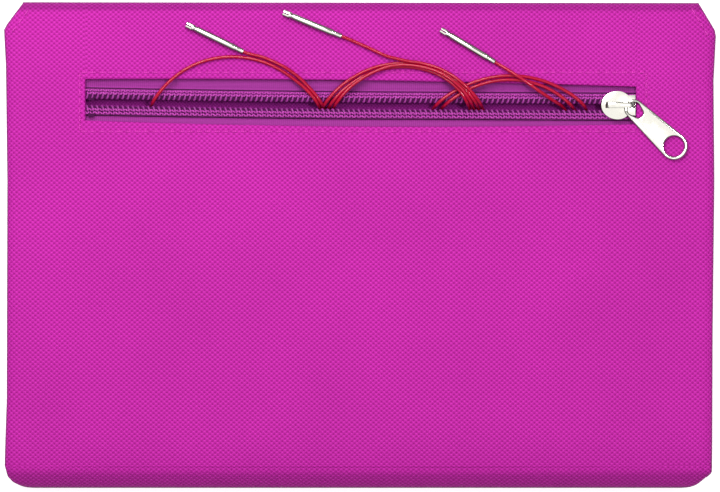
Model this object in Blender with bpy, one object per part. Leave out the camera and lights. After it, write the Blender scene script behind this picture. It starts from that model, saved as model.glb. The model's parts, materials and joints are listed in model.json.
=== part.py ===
"""Interchangeable knitting needle set in a book-fold fabric case.

The case lies closed on its front cover, zip face up. +X runs along the case, +Y points to the free
edge that opens, +Z out of the zip face. The origin is the middle of the bottom. All lengths are metres.

Front half: cover, board, lining, and two channelled strips that hold sixteen needle tips.
Spine: a stiff strip along the -Y edge, with a fold at each of its long edges.
Back half: cover with a zip window, the pocket behind it, board and lining. Three coiled cords stand
out of the open zip, and each has a metal connector at both ends.
"""

import math

import bmesh
import bpy
from mathutils import Matrix, Vector

# Case outline
CASE_HALF_X = 0.1242
CORNER_HALF_X = 0.1250
CASE_TOP = 0.0850
CASE_BOTTOM = -0.0850
CHAMFER_X = 0.1188
CHAMFER_Y = 0.0758
GAP = 0.0003
PANEL_BOTTOM = CASE_BOTTOM + 0.0024

# Heights of the layers, front half from the floor up
COVER_SKIN = 0.0012
FRONT_BOARD = (0.0015, 0.0026)
FRONT_LINING = (0.0029, 0.0037)
FRONT_RIM_TOP = 0.0116
FRONT_EDGE_TOP = 0.0037
TAB_PAIR = ((0.0119, 0.0126), (0.0130, 0.0138))

# Back half
BACK_LINING = (0.0136, 0.0144)
BACK_BOARD = (0.0147, 0.0159)
POCKET_LINING = (0.0162, 0.0168)
BACK_RIM_BOTTOM = 0.0142
PANEL_UNDER = 0.0222
FACE = 0.0240
RIM_WALL = 0.0037
EDGE_WALL = 0.0024
PAD_X = 0.1070
PAD_Y = 0.0560
PAD_SLOPE = 0.0090
TAB_CORNERS = ((0.1086, 0.0590), (0.1222, 0.0590), (0.1230, 0.0740), (0.1166, 0.0826), (0.1086, 0.0826))
CUT_REACH = 0.0100
FACE_ROLL_START = -0.0640
FACE_ROLL_DROP = 0.0012

# Spine
SPINE_TOP = 0.0212
SPINE_BASE = 0.0004
SPINE_HALF_X = 0.1236
SPINE_COVER_DEPTH = 0.0008
SPINE_BOARD_HALF_X = 0.1196
SPINE_BOARD_DEPTH = 0.0009
SPINE_BOARD_Z = (0.0012, 0.0204)

# Zip
ZIP_Y = 0.0492
WINDOW = (-0.0963, 0.1000, 0.0419, 0.0584)
TAPE_X = (-0.1010, 0.1060)
TAPE_Z = (0.0210, 0.0216)
TAPE_INNER = 0.0022
TAPE_OUTER = 0.0112
COIL_INNER = 0.0019
COIL_OUTER = 0.0040
COIL_Z = (0.0219, 0.0231)
COIL_X = (-0.0930, 0.0985)
COIL_ROUND = 0.0003
STOP_LENGTH = 0.0020

# Slider
SLIDER_X = 0.0903
SLIDER_R = 0.0051
SLIDER_TAIL = 0.0062
SLIDER_TAIL_HALF = 0.0036
SLIDER_PLATE = (0.0234, 0.0244)
SLIDER_FLANGE_BOTTOM = 0.0220
SLIDER_BASE = (0.0200, 0.0207)
SLIDER_BASE_INSET = 0.0004
SLIDER_NECK_X = (0.0859, 0.0933)
SLIDER_NECK_HALF = 0.0011
SLIDER_JOIN = 0.0003
FLANGE_INNER = 0.0043
BRIDGE_X = (0.0859, 0.0964)
BRIDGE_HALF_Y = 0.0008
BRIDGE_LEG = 0.0008
BRIDGE_Z = (0.0247, 0.0262, 0.0271)
LOCK_X = (0.0869, 0.0893)
LOCK_HALF_Y = 0.0006

# Pull tab, flat at rest, in its own frame: u along the tab, v along the pivot bar
PULL_PIVOT = (0.0941, 0.0496, 0.02525)
PULL_ANGLE = math.radians(-43.0)
PULL_HALF_THICK = 0.00055
PULL_BAR_HALF_V = 0.0037
PULL_BAR_HALF_U = 0.0005
PULL_SHOULDER_U = 0.0045
PULL_END_ARC = math.radians(112.0)
PULL_HOLE_U = 0.0217
PULL_HOLE_R = 0.0036
PULL_END_R = 0.0048
PULL_SLOT = ((0.0005, 0.0024), (0.0030, 0.0024), (0.0066, 0.0012))

# Needle tips: diameters of the eight pairs, left to right
TIP_DIAMETERS = (0.0035, 0.0040, 0.0045, 0.0050, 0.0055, 0.0060, 0.0070, 0.0080)
TIP_PITCH = 0.0130
TIP_LENGTH = 0.1250
TIP_BACK_Y = -0.0620
TIP_POINT_LENGTH = 0.0140
TIP_FERRULE = 0.0090
TIP_FERRULE_R = 0.0026
TIP_SHOULDER = 0.0020
TIP_TAPER = ((0.62, 0.45), (0.16, 0.043))
TIP_SOCKET_R = 0.00135
TIP_SOCKET_DEPTH = 0.0070
TIP_CLEARANCE = 0.0004
STRIP_THICK = 0.0006
STRIP_BOTTOM = 0.0040
STRIP_SEAM = 0.0016
POCKET_Y = (-0.0680, 0.0060)
BAND_Y = (0.0240, 0.0340)
TIP_SIDES = 14
CHANNEL_STEPS = 6

# Cords
CORD_D = 0.0012
CORD_BEND_R = 0.0035
CORD_CLIMB = math.radians(69.0)
CORD_SLIT = (0.04915, 0.0219)
COIL_THICK = 0.0014
COIL_POINTS = 76
CLIMB_REACH = 0.0055
CLIMB_DENSITY = 5.0
LOW_LEVEL = 0.01785
LOW_FACE_LEVEL = 0.0252
LEVEL_STEP = 0.0018
CONNECTOR_R = 0.00115
CONNECTOR_LENGTH = 0.0220
CONNECTOR_SIDES = 12
OUTER_CONNECTOR_Z = 0.02545
INNER_CONNECTOR_Z = 0.01845

# Each cord: name, ring centre, radius and width, level steps, the outer connector's back end and
# heading, the free tail's route from that connector, and the inner connector's back end and heading
CORDS = (
    {
        "name": "left_cord",
        "centre": (-0.0445, 0.0323),
        "radius": 0.0336,
        "width": 0.0014,
        "step": 0,
        "connector": ((-0.0409, 0.0679), math.radians(154.4)),
        "tail": (
            (-0.0404, 0.0677, 0.02545),
            (-0.0378, 0.0669, 0.02535),
            (-0.0340, 0.0660, 0.02520),
            (-0.0300, 0.0643, 0.02520),
            (-0.0265, 0.0626, 0.02520),
            (-0.0233, 0.0604, 0.02520),
            (-0.0205, 0.0581, 0.02520),
        ),
        "inner": ((-0.0560, -0.0120), math.radians(172.0)),
    },
    {
        "name": "middle_cord",
        "centre": (0.0150, 0.0318),
        "radius": 0.0322,
        "width": 0.0030,
        "step": 1,
        "connector": ((-0.0065, 0.0733), math.radians(157.8)),
        "tail": (
            (-0.0059, 0.0731, 0.02550),
            (-0.0025, 0.0717, 0.02550),
            (0.0011, 0.0701, 0.02560),
            (0.0046, 0.0685, 0.02580),
            (0.0080, 0.0669, 0.02600),
            (0.0100, 0.0661, 0.02605),
        ),
        "inner": ((0.0060, -0.0150), math.radians(176.0)),
    },
    {
        "name": "right_cord",
        "centre": (0.0526, 0.0251),
        "radius": 0.0350,
        "width": 0.0024,
        "step": 0,
        "connector": ((0.0472, 0.0643), math.radians(149.2)),
        "tail": (
            (0.0477, 0.0640, 0.02550),
            (0.0505, 0.0623, 0.02610),
            (0.0533, 0.0605, 0.02680),
            (0.0562, 0.0586, 0.02710),
            (0.0593, 0.0565, 0.02690),
            (0.0624, 0.0543, 0.02640),
            (0.0656, 0.0522, 0.02560),
            (0.0680, 0.0507, 0.02440),
            (0.0696, 0.0498, 0.02310),
            (0.0706, 0.0492, 0.02190),
            (0.0714, 0.0485, 0.02060),
            (0.0723, 0.0474, 0.01930),
            (0.0732, 0.0460, 0.01830),
            (0.0740, 0.0442, 0.01785),
        ),
        "inner": ((0.0440, -0.0190), math.radians(172.0)),
    },
)

COLOURS = {
    "shell": ((0.62, 0.03, 0.42), 0.75, 0.0),
    "lining": ((0.20, 0.01, 0.16), 0.80, 0.0),
    "board": ((0.30, 0.28, 0.25), 0.90, 0.0),
    "elastic": ((0.16, 0.02, 0.14), 0.85, 0.0),
    "hook_and_loop": ((0.30, 0.02, 0.22), 0.95, 0.0),
    "zip_tape": ((0.40, 0.05, 0.32), 0.80, 0.0),
    "zip_coil": ((0.45, 0.09, 0.38), 0.45, 0.0),
    "nickel": ((0.80, 0.78, 0.72), 0.18, 1.0),
    "cord": ((0.70, 0.02, 0.06), 0.25, 0.0),
    "tip_metal": ((0.78, 0.78, 0.80), 0.22, 1.0),
}


def clear_scene():
    for item in list(bpy.data.objects):
        bpy.data.objects.remove(item, do_unlink=True)


def material(name):
    found = bpy.data.materials.get(name)
    if found:
        return found
    colour, roughness, metallic = COLOURS[name]
    made = bpy.data.materials.new(name)
    made.use_nodes = True
    shader = made.node_tree.nodes["Principled BSDF"]
    shader.inputs["Base Color"].default_value = (*colour, 1.0)
    shader.inputs["Roughness"].default_value = roughness
    shader.inputs["Metallic"].default_value = metallic
    return made


def add_object(name, data, finish, parent=None):
    """Links an object. A piece that moves hangs on an empty, which stands on its joint's axis."""
    piece = bpy.data.objects.new(name, data)
    bpy.context.scene.collection.objects.link(piece)
    data.materials.append(material(finish))
    if parent is not None:
        piece.parent = parent
        piece.matrix_parent_inverse = parent.matrix_world.inverted()
    return piece


def pivot(name, place):
    empty = bpy.data.objects.new(name, None)
    empty.location = place
    bpy.context.scene.collection.objects.link(empty)
    bpy.context.view_layer.update()
    return empty


def mesh_from(bm, name, smooth_below=None):
    bmesh.ops.recalc_face_normals(bm, faces=bm.faces[:])
    mesh = bpy.data.meshes.new(name)
    bm.to_mesh(mesh)
    bm.free()
    if smooth_below is not None:
        mesh.shade_smooth()
        mesh.set_sharp_from_angle(angle=smooth_below)
    return mesh


def prism_bmesh(outline, low, high):
    """An upright prism on a closed outline of (x, y) points."""
    bm = bmesh.new()
    corners = [bm.verts.new((x, y, low)) for x, y in outline]
    base = bm.faces.new(corners)
    raised = bmesh.ops.extrude_face_region(bm, geom=[base])["geom"]
    bmesh.ops.translate(
        bm,
        vec=(0.0, 0.0, high - low),
        verts=[v for v in raised if isinstance(v, bmesh.types.BMVert)],
    )
    return bm


def prism(name, outline, low, high, finish, parent=None):
    return add_object(name, mesh_from(prism_bmesh(outline, low, high), name), finish, parent)


def rectangle(x0, x1, y0, y1):
    return ((x0, y0), (x1, y0), (x1, y1), (x0, y1))


def boolean(piece, tool, operation="DIFFERENCE"):
    """Cuts a piece with a tool, or joins the tool to it. The tool stays as a hidden guide."""
    tool.hide_render = True
    tool.display_type = "WIRE"
    step = piece.modifiers.new(tool.name, "BOOLEAN")
    step.operation = operation
    step.solver = "EXACT"
    step.object = tool


def tool_prism(name, outline, low, high):
    """A hidden prism, used to cut or to join."""
    tool = bpy.data.objects.new(name, mesh_from(prism_bmesh(outline, low, high), name))
    bpy.context.scene.collection.objects.link(tool)
    tool.hide_render = True
    tool.display_type = "WIRE"
    return tool


def round_edges(piece, width, segments=2, angle=40.0):
    step = piece.modifiers.new("soft edges", "BEVEL")
    step.width = width
    step.segments = segments
    step.limit_method = "ANGLE"
    step.angle_limit = math.radians(angle)


def mirrored(half):
    """A closed outline from its right half, listed from bottom to top."""
    return tuple(half) + tuple((-x, y) for x, y in reversed(half))


def case_outline(bottom=PANEL_BOTTOM):
    return mirrored(
        (
            (CASE_HALF_X, bottom),
            (CASE_HALF_X, 0.0600),
            (CORNER_HALF_X, CHAMFER_Y),
            (CHAMFER_X, CASE_TOP),
        )
    )


def cavity_outline(bottom, inset=0.0):
    """Inside of the rims: between the side walls, and narrower between the two corner pads."""
    side = CASE_HALF_X - RIM_WALL - inset
    pad = PAD_X - inset
    top = CASE_TOP - EDGE_WALL - inset
    return mirrored(((side, bottom), (side, PAD_Y - PAD_SLOPE), (pad, PAD_Y), (pad, top)))


def tab_outline(side):
    """One corner tab, kept inside the chamfered corner."""
    if side == "right":
        return TAB_CORNERS
    return tuple((-x, y) for x, y in reversed(TAB_CORNERS))


def sheet(name, levels, finish, parent=None):
    outline = cavity_outline(PANEL_BOTTOM + EDGE_WALL + GAP, GAP)
    return prism(name, outline, *levels, finish, parent)


def front_cover():
    cover = prism("front_cover", case_outline(), 0.0, FRONT_RIM_TOP, "shell")
    lift = 2.0 * FRONT_RIM_TOP
    cavity = cavity_outline(PANEL_BOTTOM + EDGE_WALL)
    boolean(cover, tool_prism("front_cavity", cavity, COVER_SKIN, lift))
    mouth = rectangle(-PAD_X, PAD_X, 0.0, 2.0 * CASE_TOP)
    boolean(cover, tool_prism("front_mouth", mouth, FRONT_EDGE_TOP, lift))
    side = CASE_HALF_X - RIM_WALL
    fold = rectangle(-side, side, 2.0 * CASE_BOTTOM, 0.0)
    boolean(cover, tool_prism("front_fold", fold, FRONT_EDGE_TOP, lift))


def front_half():
    front_cover()
    sheet("front_board", FRONT_BOARD, "board")
    sheet("front_lining", FRONT_LINING, "lining")
    for side in ("left", "right"):
        prism(f"hook_tab_{side}", tab_outline(side), *TAB_PAIR[0], "hook_and_loop")
    channel_strip("needle_pocket", POCKET_Y, "lining")
    channel_strip("needle_band", BAND_Y, "elastic")


def tip_places():
    """Yields each tip's name, centre x and radius, two of each size from left to right."""
    for index in range(2 * len(TIP_DIAMETERS)):
        diameter = TIP_DIAMETERS[index // 2]
        label = f"{diameter * 1000.0:.1f}".replace(".", "_")
        letter = "ab"[index % 2]
        centre = (index - len(TIP_DIAMETERS) + 0.5) * TIP_PITCH
        yield f"tip_{label}_{letter}", centre, diameter / 2.0


def tip_height(radius):
    return FRONT_LINING[1] + TIP_CLEARANCE + radius


def channel_strip(name, span, finish):
    """A strip of fabric sewn down between the tips and arched over each of them."""
    lower = []
    upper = []
    for _, centre, radius in tip_places():
        middle = tip_height(radius)
        inner = radius + TIP_CLEARANCE
        outer = inner + STRIP_THICK
        lower.append((centre - inner, STRIP_BOTTOM))
        upper.append((centre - outer, STRIP_BOTTOM + STRIP_THICK))
        for step in range(CHANNEL_STEPS + 1):
            angle = math.pi * (1.0 - step / CHANNEL_STEPS)
            lower.append((centre + inner * math.cos(angle), middle + inner * math.sin(angle)))
            upper.append((centre + outer * math.cos(angle), middle + outer * math.sin(angle)))
        lower.append((centre + inner, STRIP_BOTTOM))
        upper.append((centre + outer, STRIP_BOTTOM + STRIP_THICK))
    end = lower[-1][0] + STRIP_SEAM
    start = lower[0][0] - STRIP_SEAM
    section = [(start, STRIP_BOTTOM)] + lower + [(end, STRIP_BOTTOM)]
    section += [(end, STRIP_BOTTOM + STRIP_THICK)] + upper[::-1] + [(start, STRIP_BOTTOM + STRIP_THICK)]
    bm = bmesh.new()
    face = bm.faces.new([bm.verts.new((x, span[0], z)) for x, z in section])
    raised = bmesh.ops.extrude_face_region(bm, geom=[face])["geom"]
    moved = [v for v in raised if isinstance(v, bmesh.types.BMVert)]
    bmesh.ops.translate(bm, vec=(0.0, span[1] - span[0], 0.0), verts=moved)
    return add_object(name, mesh_from(bm, name, math.radians(35.0)), finish)


def turned(name, profile, sides, finish, parent=None, place=None):
    """A solid of revolution. Its profile is (radius, y) from one end of the axis to the other."""
    bm = bmesh.new()
    rings = []
    for radius, y in profile:
        if radius == 0.0:
            rings.append([bm.verts.new((0.0, y, 0.0))])
            continue
        ring = []
        for index in range(sides):
            angle = 2.0 * math.pi * index / sides
            ring.append(bm.verts.new((radius * math.cos(angle), y, radius * math.sin(angle))))
        rings.append(ring)
    for one, two in zip(rings, rings[1:]):
        for index in range(sides):
            following = (index + 1) % sides
            if len(one) == 1:
                bm.faces.new((one[0], two[following], two[index]))
            elif len(two) == 1:
                bm.faces.new((one[index], one[following], two[0]))
            else:
                bm.faces.new((one[index], one[following], two[following], two[index]))
    mesh = mesh_from(bm, name, math.radians(35.0))
    if place is not None:
        mesh.transform(place)
    return add_object(name, mesh, finish, parent)


def needle_tips():
    for name, centre, radius in tip_places():
        height = tip_height(radius)
        front = TIP_BACK_Y + TIP_LENGTH
        ferrule = min(TIP_FERRULE_R, radius)
        profile = (
            (0.0, TIP_BACK_Y + TIP_SOCKET_DEPTH),
            (TIP_SOCKET_R, TIP_BACK_Y + TIP_SOCKET_DEPTH),
            (TIP_SOCKET_R, TIP_BACK_Y),
            (ferrule, TIP_BACK_Y),
            (ferrule, TIP_BACK_Y + TIP_FERRULE),
            (radius, TIP_BACK_Y + TIP_FERRULE + TIP_SHOULDER),
            (radius, front - TIP_POINT_LENGTH),
            *((width * radius, front - share * TIP_POINT_LENGTH) for width, share in TIP_TAPER),
            (0.0, front),
        )
        if ferrule == radius:
            profile = profile[:4] + profile[6:]
        slide = pivot(f"{name}_slide", (centre, TIP_BACK_Y, height))
        place = Matrix.Translation((centre, 0.0, height))
        turned(name, profile, TIP_SIDES, "tip_metal", slide, place)


def spine():
    hinge = pivot("spine_hinge", (0.0, CASE_BOTTOM, 0.0))
    depth = CASE_BOTTOM + SPINE_COVER_DEPTH
    outline = rectangle(-SPINE_HALF_X, SPINE_HALF_X, CASE_BOTTOM, depth)
    prism("spine_cover", outline, SPINE_BASE, SPINE_TOP, "shell", hinge)
    start = depth + GAP
    outline = rectangle(-SPINE_BOARD_HALF_X, SPINE_BOARD_HALF_X, start, start + SPINE_BOARD_DEPTH)
    prism("spine_board", outline, *SPINE_BOARD_Z, "board", hinge)


def back_cover(parent):
    cover = prism("back_cover", case_outline(), BACK_RIM_BOTTOM, FACE, "shell", parent)
    under = BACK_RIM_BOTTOM - CUT_REACH
    cavity = cavity_outline(PANEL_BOTTOM + EDGE_WALL)
    boolean(cover, tool_prism("back_cavity", cavity, under, PANEL_UNDER))
    boolean(cover, tool_prism("zip_window", rectangle(*WINDOW), under, 2.0 * FACE))
    roll = bmesh.new()
    edge = CASE_BOTTOM - CUT_REACH
    slope = FACE_ROLL_DROP / (FACE_ROLL_START - PANEL_BOTTOM)
    section = (
        (FACE_ROLL_START, FACE),
        (FACE_ROLL_START, FACE + CUT_REACH),
        (edge, FACE + CUT_REACH),
        (edge, FACE - slope * (FACE_ROLL_START - edge)),
    )
    reach = 2.0 * CASE_HALF_X
    face = roll.faces.new([roll.verts.new((-reach, y, z)) for y, z in section])
    raised = bmesh.ops.extrude_face_region(roll, geom=[face])["geom"]
    moved = [v for v in raised if isinstance(v, bmesh.types.BMVert)]
    bmesh.ops.translate(roll, vec=(2.0 * reach, 0.0, 0.0), verts=moved)
    tool = bpy.data.objects.new("face_roll", mesh_from(roll, "face_roll"))
    bpy.context.scene.collection.objects.link(tool)
    boolean(cover, tool)


def zip_parts(parent):
    for side, sign in (("upper", 1.0), ("lower", -1.0)):
        tape = sorted((ZIP_Y + sign * TAPE_INNER, ZIP_Y + sign * TAPE_OUTER))
        prism(f"zip_tape_{side}", rectangle(*TAPE_X, *tape), *TAPE_Z, "zip_tape", parent)
        coil = sorted((ZIP_Y + sign * COIL_INNER, ZIP_Y + sign * COIL_OUTER))
        row = prism(f"zip_coil_{side}", rectangle(*COIL_X, *coil), *COIL_Z, "zip_coil", parent)
        round_edges(row, COIL_ROUND, 1)
        stop_x = COIL_X[0] - GAP
        prism(
            f"zip_top_stop_{side}",
            rectangle(stop_x - STOP_LENGTH, stop_x, *coil),
            *COIL_Z,
            "zip_coil",
            parent,
        )
    stop_x = COIL_X[1] + GAP
    across = (ZIP_Y - COIL_OUTER, ZIP_Y + COIL_OUTER)
    prism(
        "zip_bottom_stop",
        rectangle(stop_x, WINDOW[1] - GAP, *across),
        *COIL_Z,
        "nickel",
        parent,
    )


def slider_outline(margin=0.0):
    """A round nose to the left that narrows to a straight tail."""
    radius = SLIDER_R - margin
    half = SLIDER_TAIL_HALF - margin
    tail = SLIDER_X + SLIDER_TAIL - margin
    points = [(tail, ZIP_Y - half), (tail, ZIP_Y + half)]
    steps = 18
    first = math.radians(48.0)
    for index in range(steps + 1):
        angle = first + (2.0 * math.pi - 2.0 * first) * index / steps
        points.append((SLIDER_X + radius * math.cos(angle), ZIP_Y + radius * math.sin(angle)))
    return tuple(points)


def slider():
    slide = pivot("zip_slide", (SLIDER_X, ZIP_Y, SLIDER_PLATE[0]))
    outline = slider_outline()
    body = prism("slider_body", outline, SLIDER_FLANGE_BOTTOM, SLIDER_PLATE[1], "nickel", slide)
    reach = 2.0 * SLIDER_R
    channel = rectangle(
        SLIDER_X - reach, SLIDER_X + reach, ZIP_Y - FLANGE_INNER, ZIP_Y + FLANGE_INNER
    )
    boolean(body, tool_prism("slider_channel", channel, SLIDER_BASE[0], SLIDER_PLATE[0]))
    base = tool_prism("slider_base", slider_outline(SLIDER_BASE_INSET), *SLIDER_BASE)
    neck_outline = rectangle(*SLIDER_NECK_X, ZIP_Y - SLIDER_NECK_HALF, ZIP_Y + SLIDER_NECK_HALF)
    neck_levels = (SLIDER_BASE[1] - SLIDER_JOIN, SLIDER_PLATE[0] + SLIDER_JOIN)
    neck = tool_prism("slider_neck", neck_outline, *neck_levels)
    boolean(body, neck, "UNION")
    boolean(body, base, "UNION")

    low, inside, top = BRIDGE_Z
    span = rectangle(*BRIDGE_X, ZIP_Y - BRIDGE_HALF_Y, ZIP_Y + BRIDGE_HALF_Y)
    bridge = prism("slider_bridge", span, low, top, "nickel", slide)
    arch = rectangle(
        BRIDGE_X[0] + BRIDGE_LEG,
        BRIDGE_X[1] - BRIDGE_LEG,
        ZIP_Y - 2.0 * BRIDGE_HALF_Y,
        ZIP_Y + 2.0 * BRIDGE_HALF_Y,
    )
    boolean(bridge, tool_prism("bridge_arch", arch, low - BRIDGE_LEG, inside))
    lock = rectangle(*LOCK_X, ZIP_Y - LOCK_HALF_Y, ZIP_Y + LOCK_HALF_Y)
    prism("slider_lock_spring", lock, low, inside - GAP, "nickel", slide)
    return slide


def pull_outline():
    """Squared at the pivot bar, tapering to a round end about the finger hole."""
    points = [
        (-PULL_BAR_HALF_U, PULL_BAR_HALF_V),
        (-PULL_BAR_HALF_U, -PULL_BAR_HALF_V),
        (PULL_SHOULDER_U, -PULL_BAR_HALF_V),
    ]
    steps = 14
    for index in range(steps + 1):
        angle = PULL_END_ARC * (2.0 * index / steps - 1.0)
        points.append((PULL_HOLE_U + PULL_END_R * math.cos(angle), PULL_END_R * math.sin(angle)))
    points.append((PULL_SHOULDER_U, PULL_BAR_HALF_V))
    return points


def pull_tab(slide):
    hinge = pivot("pull_hinge", PULL_PIVOT)
    hinge.parent = slide
    hinge.matrix_parent_inverse = slide.matrix_world.inverted()
    bpy.context.view_layer.update()
    turn = Matrix.Translation(Vector(PULL_PIVOT)) @ Matrix.Rotation(PULL_ANGLE, 4, "Z")
    tab_mesh = mesh_from(prism_bmesh(pull_outline(), -PULL_HALF_THICK, PULL_HALF_THICK), "pull_tab")
    tab_mesh.transform(turn)
    tab = add_object("pull_tab", tab_mesh, "nickel", hinge)
    steps = 16
    ring = []
    for index in range(steps):
        angle = 2.0 * math.pi * index / steps
        ring.append((PULL_HOLE_U + PULL_HOLE_R * math.cos(angle), PULL_HOLE_R * math.sin(angle)))
    slot = [(u, -v) for u, v in PULL_SLOT] + [(u, v) for u, v in reversed(PULL_SLOT)]
    for name, outline in (("pull_hole", ring), ("pull_slot", slot)):
        tool = tool_prism(name, outline, -2.0 * PULL_HALF_THICK, 2.0 * PULL_HALF_THICK)
        tool.data.transform(turn)
        boolean(tab, tool)


def climb_height(y, low, high):
    """Height of a cord that runs level in the pocket, climbs through the slit and runs level on top."""
    slit_y, slit_z = CORD_SLIT
    rise = CORD_BEND_R * (1.0 - math.cos(CORD_CLIMB))
    run = CORD_BEND_R * math.sin(CORD_CLIMB)
    slope = math.tan(CORD_CLIMB)
    start = slit_y + (low + rise - slit_z) / slope - run
    finish = slit_y + (high - rise - slit_z) / slope + run
    if y <= start:
        return low
    if y >= finish:
        return high
    if y < start + run:
        return low + CORD_BEND_R - math.sqrt(CORD_BEND_R**2 - (y - start) ** 2)
    if y > finish - run:
        return high - CORD_BEND_R + math.sqrt(CORD_BEND_R**2 - (finish - y) ** 2)
    return slit_z + (y - slit_y) * slope


def coil_route(cord):
    """One closed turn: a circle above the slit, and below it an oval no wider than at the slit."""
    cx, cy = cord["centre"]
    radius = cord["radius"]
    low = LOW_LEVEL + cord["step"] * LEVEL_STEP
    high = LOW_FACE_LEVEL + cord["step"] * LEVEL_STEP
    slit = CORD_SLIT[0]
    half = math.sqrt(radius**2 - (slit - cy) ** 2)
    points = []
    steps = 720
    for index in range(steps):
        angle = 2.0 * math.pi * index / steps
        x = radius * math.cos(angle)
        y = cy + radius * math.sin(angle)
        if y < slit:
            x = max(-half, min(half, x))
        points.append(Vector((cx + x, y, climb_height(y, low, high))))
    return spaced(points, COIL_POINTS)


def spaced(points, count):
    """Points in steps along a closed line, closer together where it climbs through the slit."""
    lengths = [0.0]
    for index, point in enumerate(points):
        length = (points[(index + 1) % len(points)] - point).length
        near = abs(point.y - CORD_SLIT[0]) < CLIMB_REACH
        lengths.append(lengths[-1] + length * (CLIMB_DENSITY if near else 1.0))
    result = []
    index = 0
    for step in range(count):
        target = lengths[-1] * step / count
        while lengths[index + 1] < target:
            index += 1
        share = (target - lengths[index]) / (lengths[index + 1] - lengths[index])
        result.append(points[index].lerp(points[(index + 1) % len(points)], share))
    return result


def swept_ring(name, route, width, thick, parent):
    """A closed ring with an oval section that stays level across its width."""
    bm = bmesh.new()
    rings = []
    sides = 8
    count = len(route)
    for index, point in enumerate(route):
        ahead = (route[(index + 1) % count] - route[index - 1]).normalized()
        across = ahead.cross(Vector((0.0, 0.0, 1.0))).normalized()
        up = across.cross(ahead).normalized()
        ring = []
        for side in range(sides):
            angle = 2.0 * math.pi * (side + 0.5) / sides
            offset = across * (0.5 * width * math.cos(angle)) + up * (0.5 * thick * math.sin(angle))
            ring.append(bm.verts.new(point + offset))
        rings.append(ring)
    for index, ring in enumerate(rings):
        following = rings[(index + 1) % count]
        for side in range(sides):
            other = (side + 1) % sides
            bm.faces.new((ring[side], ring[other], following[other], following[side]))
    return add_object(name, mesh_from(bm, name, math.radians(60.0)), "cord", parent)


def smooth_route(points, per_span=3):
    """Points read from a Catmull-Rom curve through the route's own points."""
    ends = [2.0 * points[0] - points[1], *points, 2.0 * points[-1] - points[-2]]
    result = []
    for index in range(1, len(ends) - 2):
        a, b, c, d = ends[index - 1 : index + 3]
        for step in range(per_span):
            t = step / per_span
            result.append(
                0.5
                * (
                    2.0 * b
                    + (c - a) * t
                    + (2.0 * a - 5.0 * b + 4.0 * c - d) * t**2
                    + (3.0 * b - a - 3.0 * c + d) * t**3
                )
            )
    result.append(points[-1])
    return result


def cord_tube(name, route, parent):
    curve = bpy.data.curves.new(name, "CURVE")
    curve.dimensions = "3D"
    curve.bevel_depth = CORD_D / 2.0
    curve.bevel_resolution = 2
    curve.use_fill_caps = True
    points = smooth_route([Vector(p) for p in route], 2)
    line = curve.splines.new("POLY")
    line.points.add(len(points) - 1)
    for spot, point in zip(line.points, points):
        spot.co = (*point, 1.0)
    return add_object(name, curve, "cord", parent)


def connector(name, back, heading, height, parent):
    """A metal tube that tapers to the cord at its back and has a collar and neck at its tip."""
    length = CONNECTOR_LENGTH
    radius = CONNECTOR_R
    profile = (
        (0.0, 0.0),
        (0.80 * radius, 0.0),
        (0.80 * radius, 0.0025),
        (radius, 0.0035),
        (radius, length - 0.0068),
        (0.72 * radius, length - 0.0066),
        (0.72 * radius, length - 0.0050),
        (radius, length - 0.0048),
        (radius, length - 0.0012),
        (0.75 * radius, length),
        (0.0, length),
    )
    turn = Matrix.Rotation(heading - math.pi / 2.0, 4, "Z")
    place = Matrix.Translation((back[0], back[1], height)) @ turn
    turned(name, profile, CONNECTOR_SIDES, "nickel", parent, place)


def cords(parent):
    for cord in CORDS:
        name = cord["name"]
        swept_ring(f"{name}_coil", coil_route(cord), cord["width"], COIL_THICK, parent)
        back, heading = cord["connector"]
        connector(f"{name}_outer_connector", back, heading, OUTER_CONNECTOR_Z, parent)
        cord_tube(f"{name}_tail", cord["tail"], parent)
        back, heading = cord["inner"]
        connector(f"{name}_inner_connector", back, heading, INNER_CONNECTOR_Z, parent)


def back_half():
    hinge = pivot("back_hinge", (0.0, CASE_BOTTOM, SPINE_TOP + GAP))
    back_cover(hinge)
    sheet("back_lining", BACK_LINING, "lining", hinge)
    sheet("back_board", BACK_BOARD, "board", hinge)
    sheet("pocket_lining", POCKET_LINING, "lining", hinge)
    for side in ("left", "right"):
        prism(f"loop_tab_{side}", tab_outline(side), *TAB_PAIR[1], "hook_and_loop", hinge)
    zip_parts(hinge)
    cords(hinge)


def build():
    clear_scene()
    front_half()
    needle_tips()
    spine()
    back_half()
    pull_tab(slider())


build()
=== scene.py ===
"""Looks of the interchangeable needle set: a closed book-fold fabric case, zip face up.

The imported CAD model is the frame. Its soft solids and plain metal pieces are replaced here by cloth,
cord, coil and metal pieces that lie where the CAD says. All lengths are metres. +X runs along the
case, +Y points to its free edge, +Z out of the zip face.
"""

import json
import math

import bmesh
import bpy
import numpy as np
from mathutils import Matrix, Vector, noise

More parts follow.
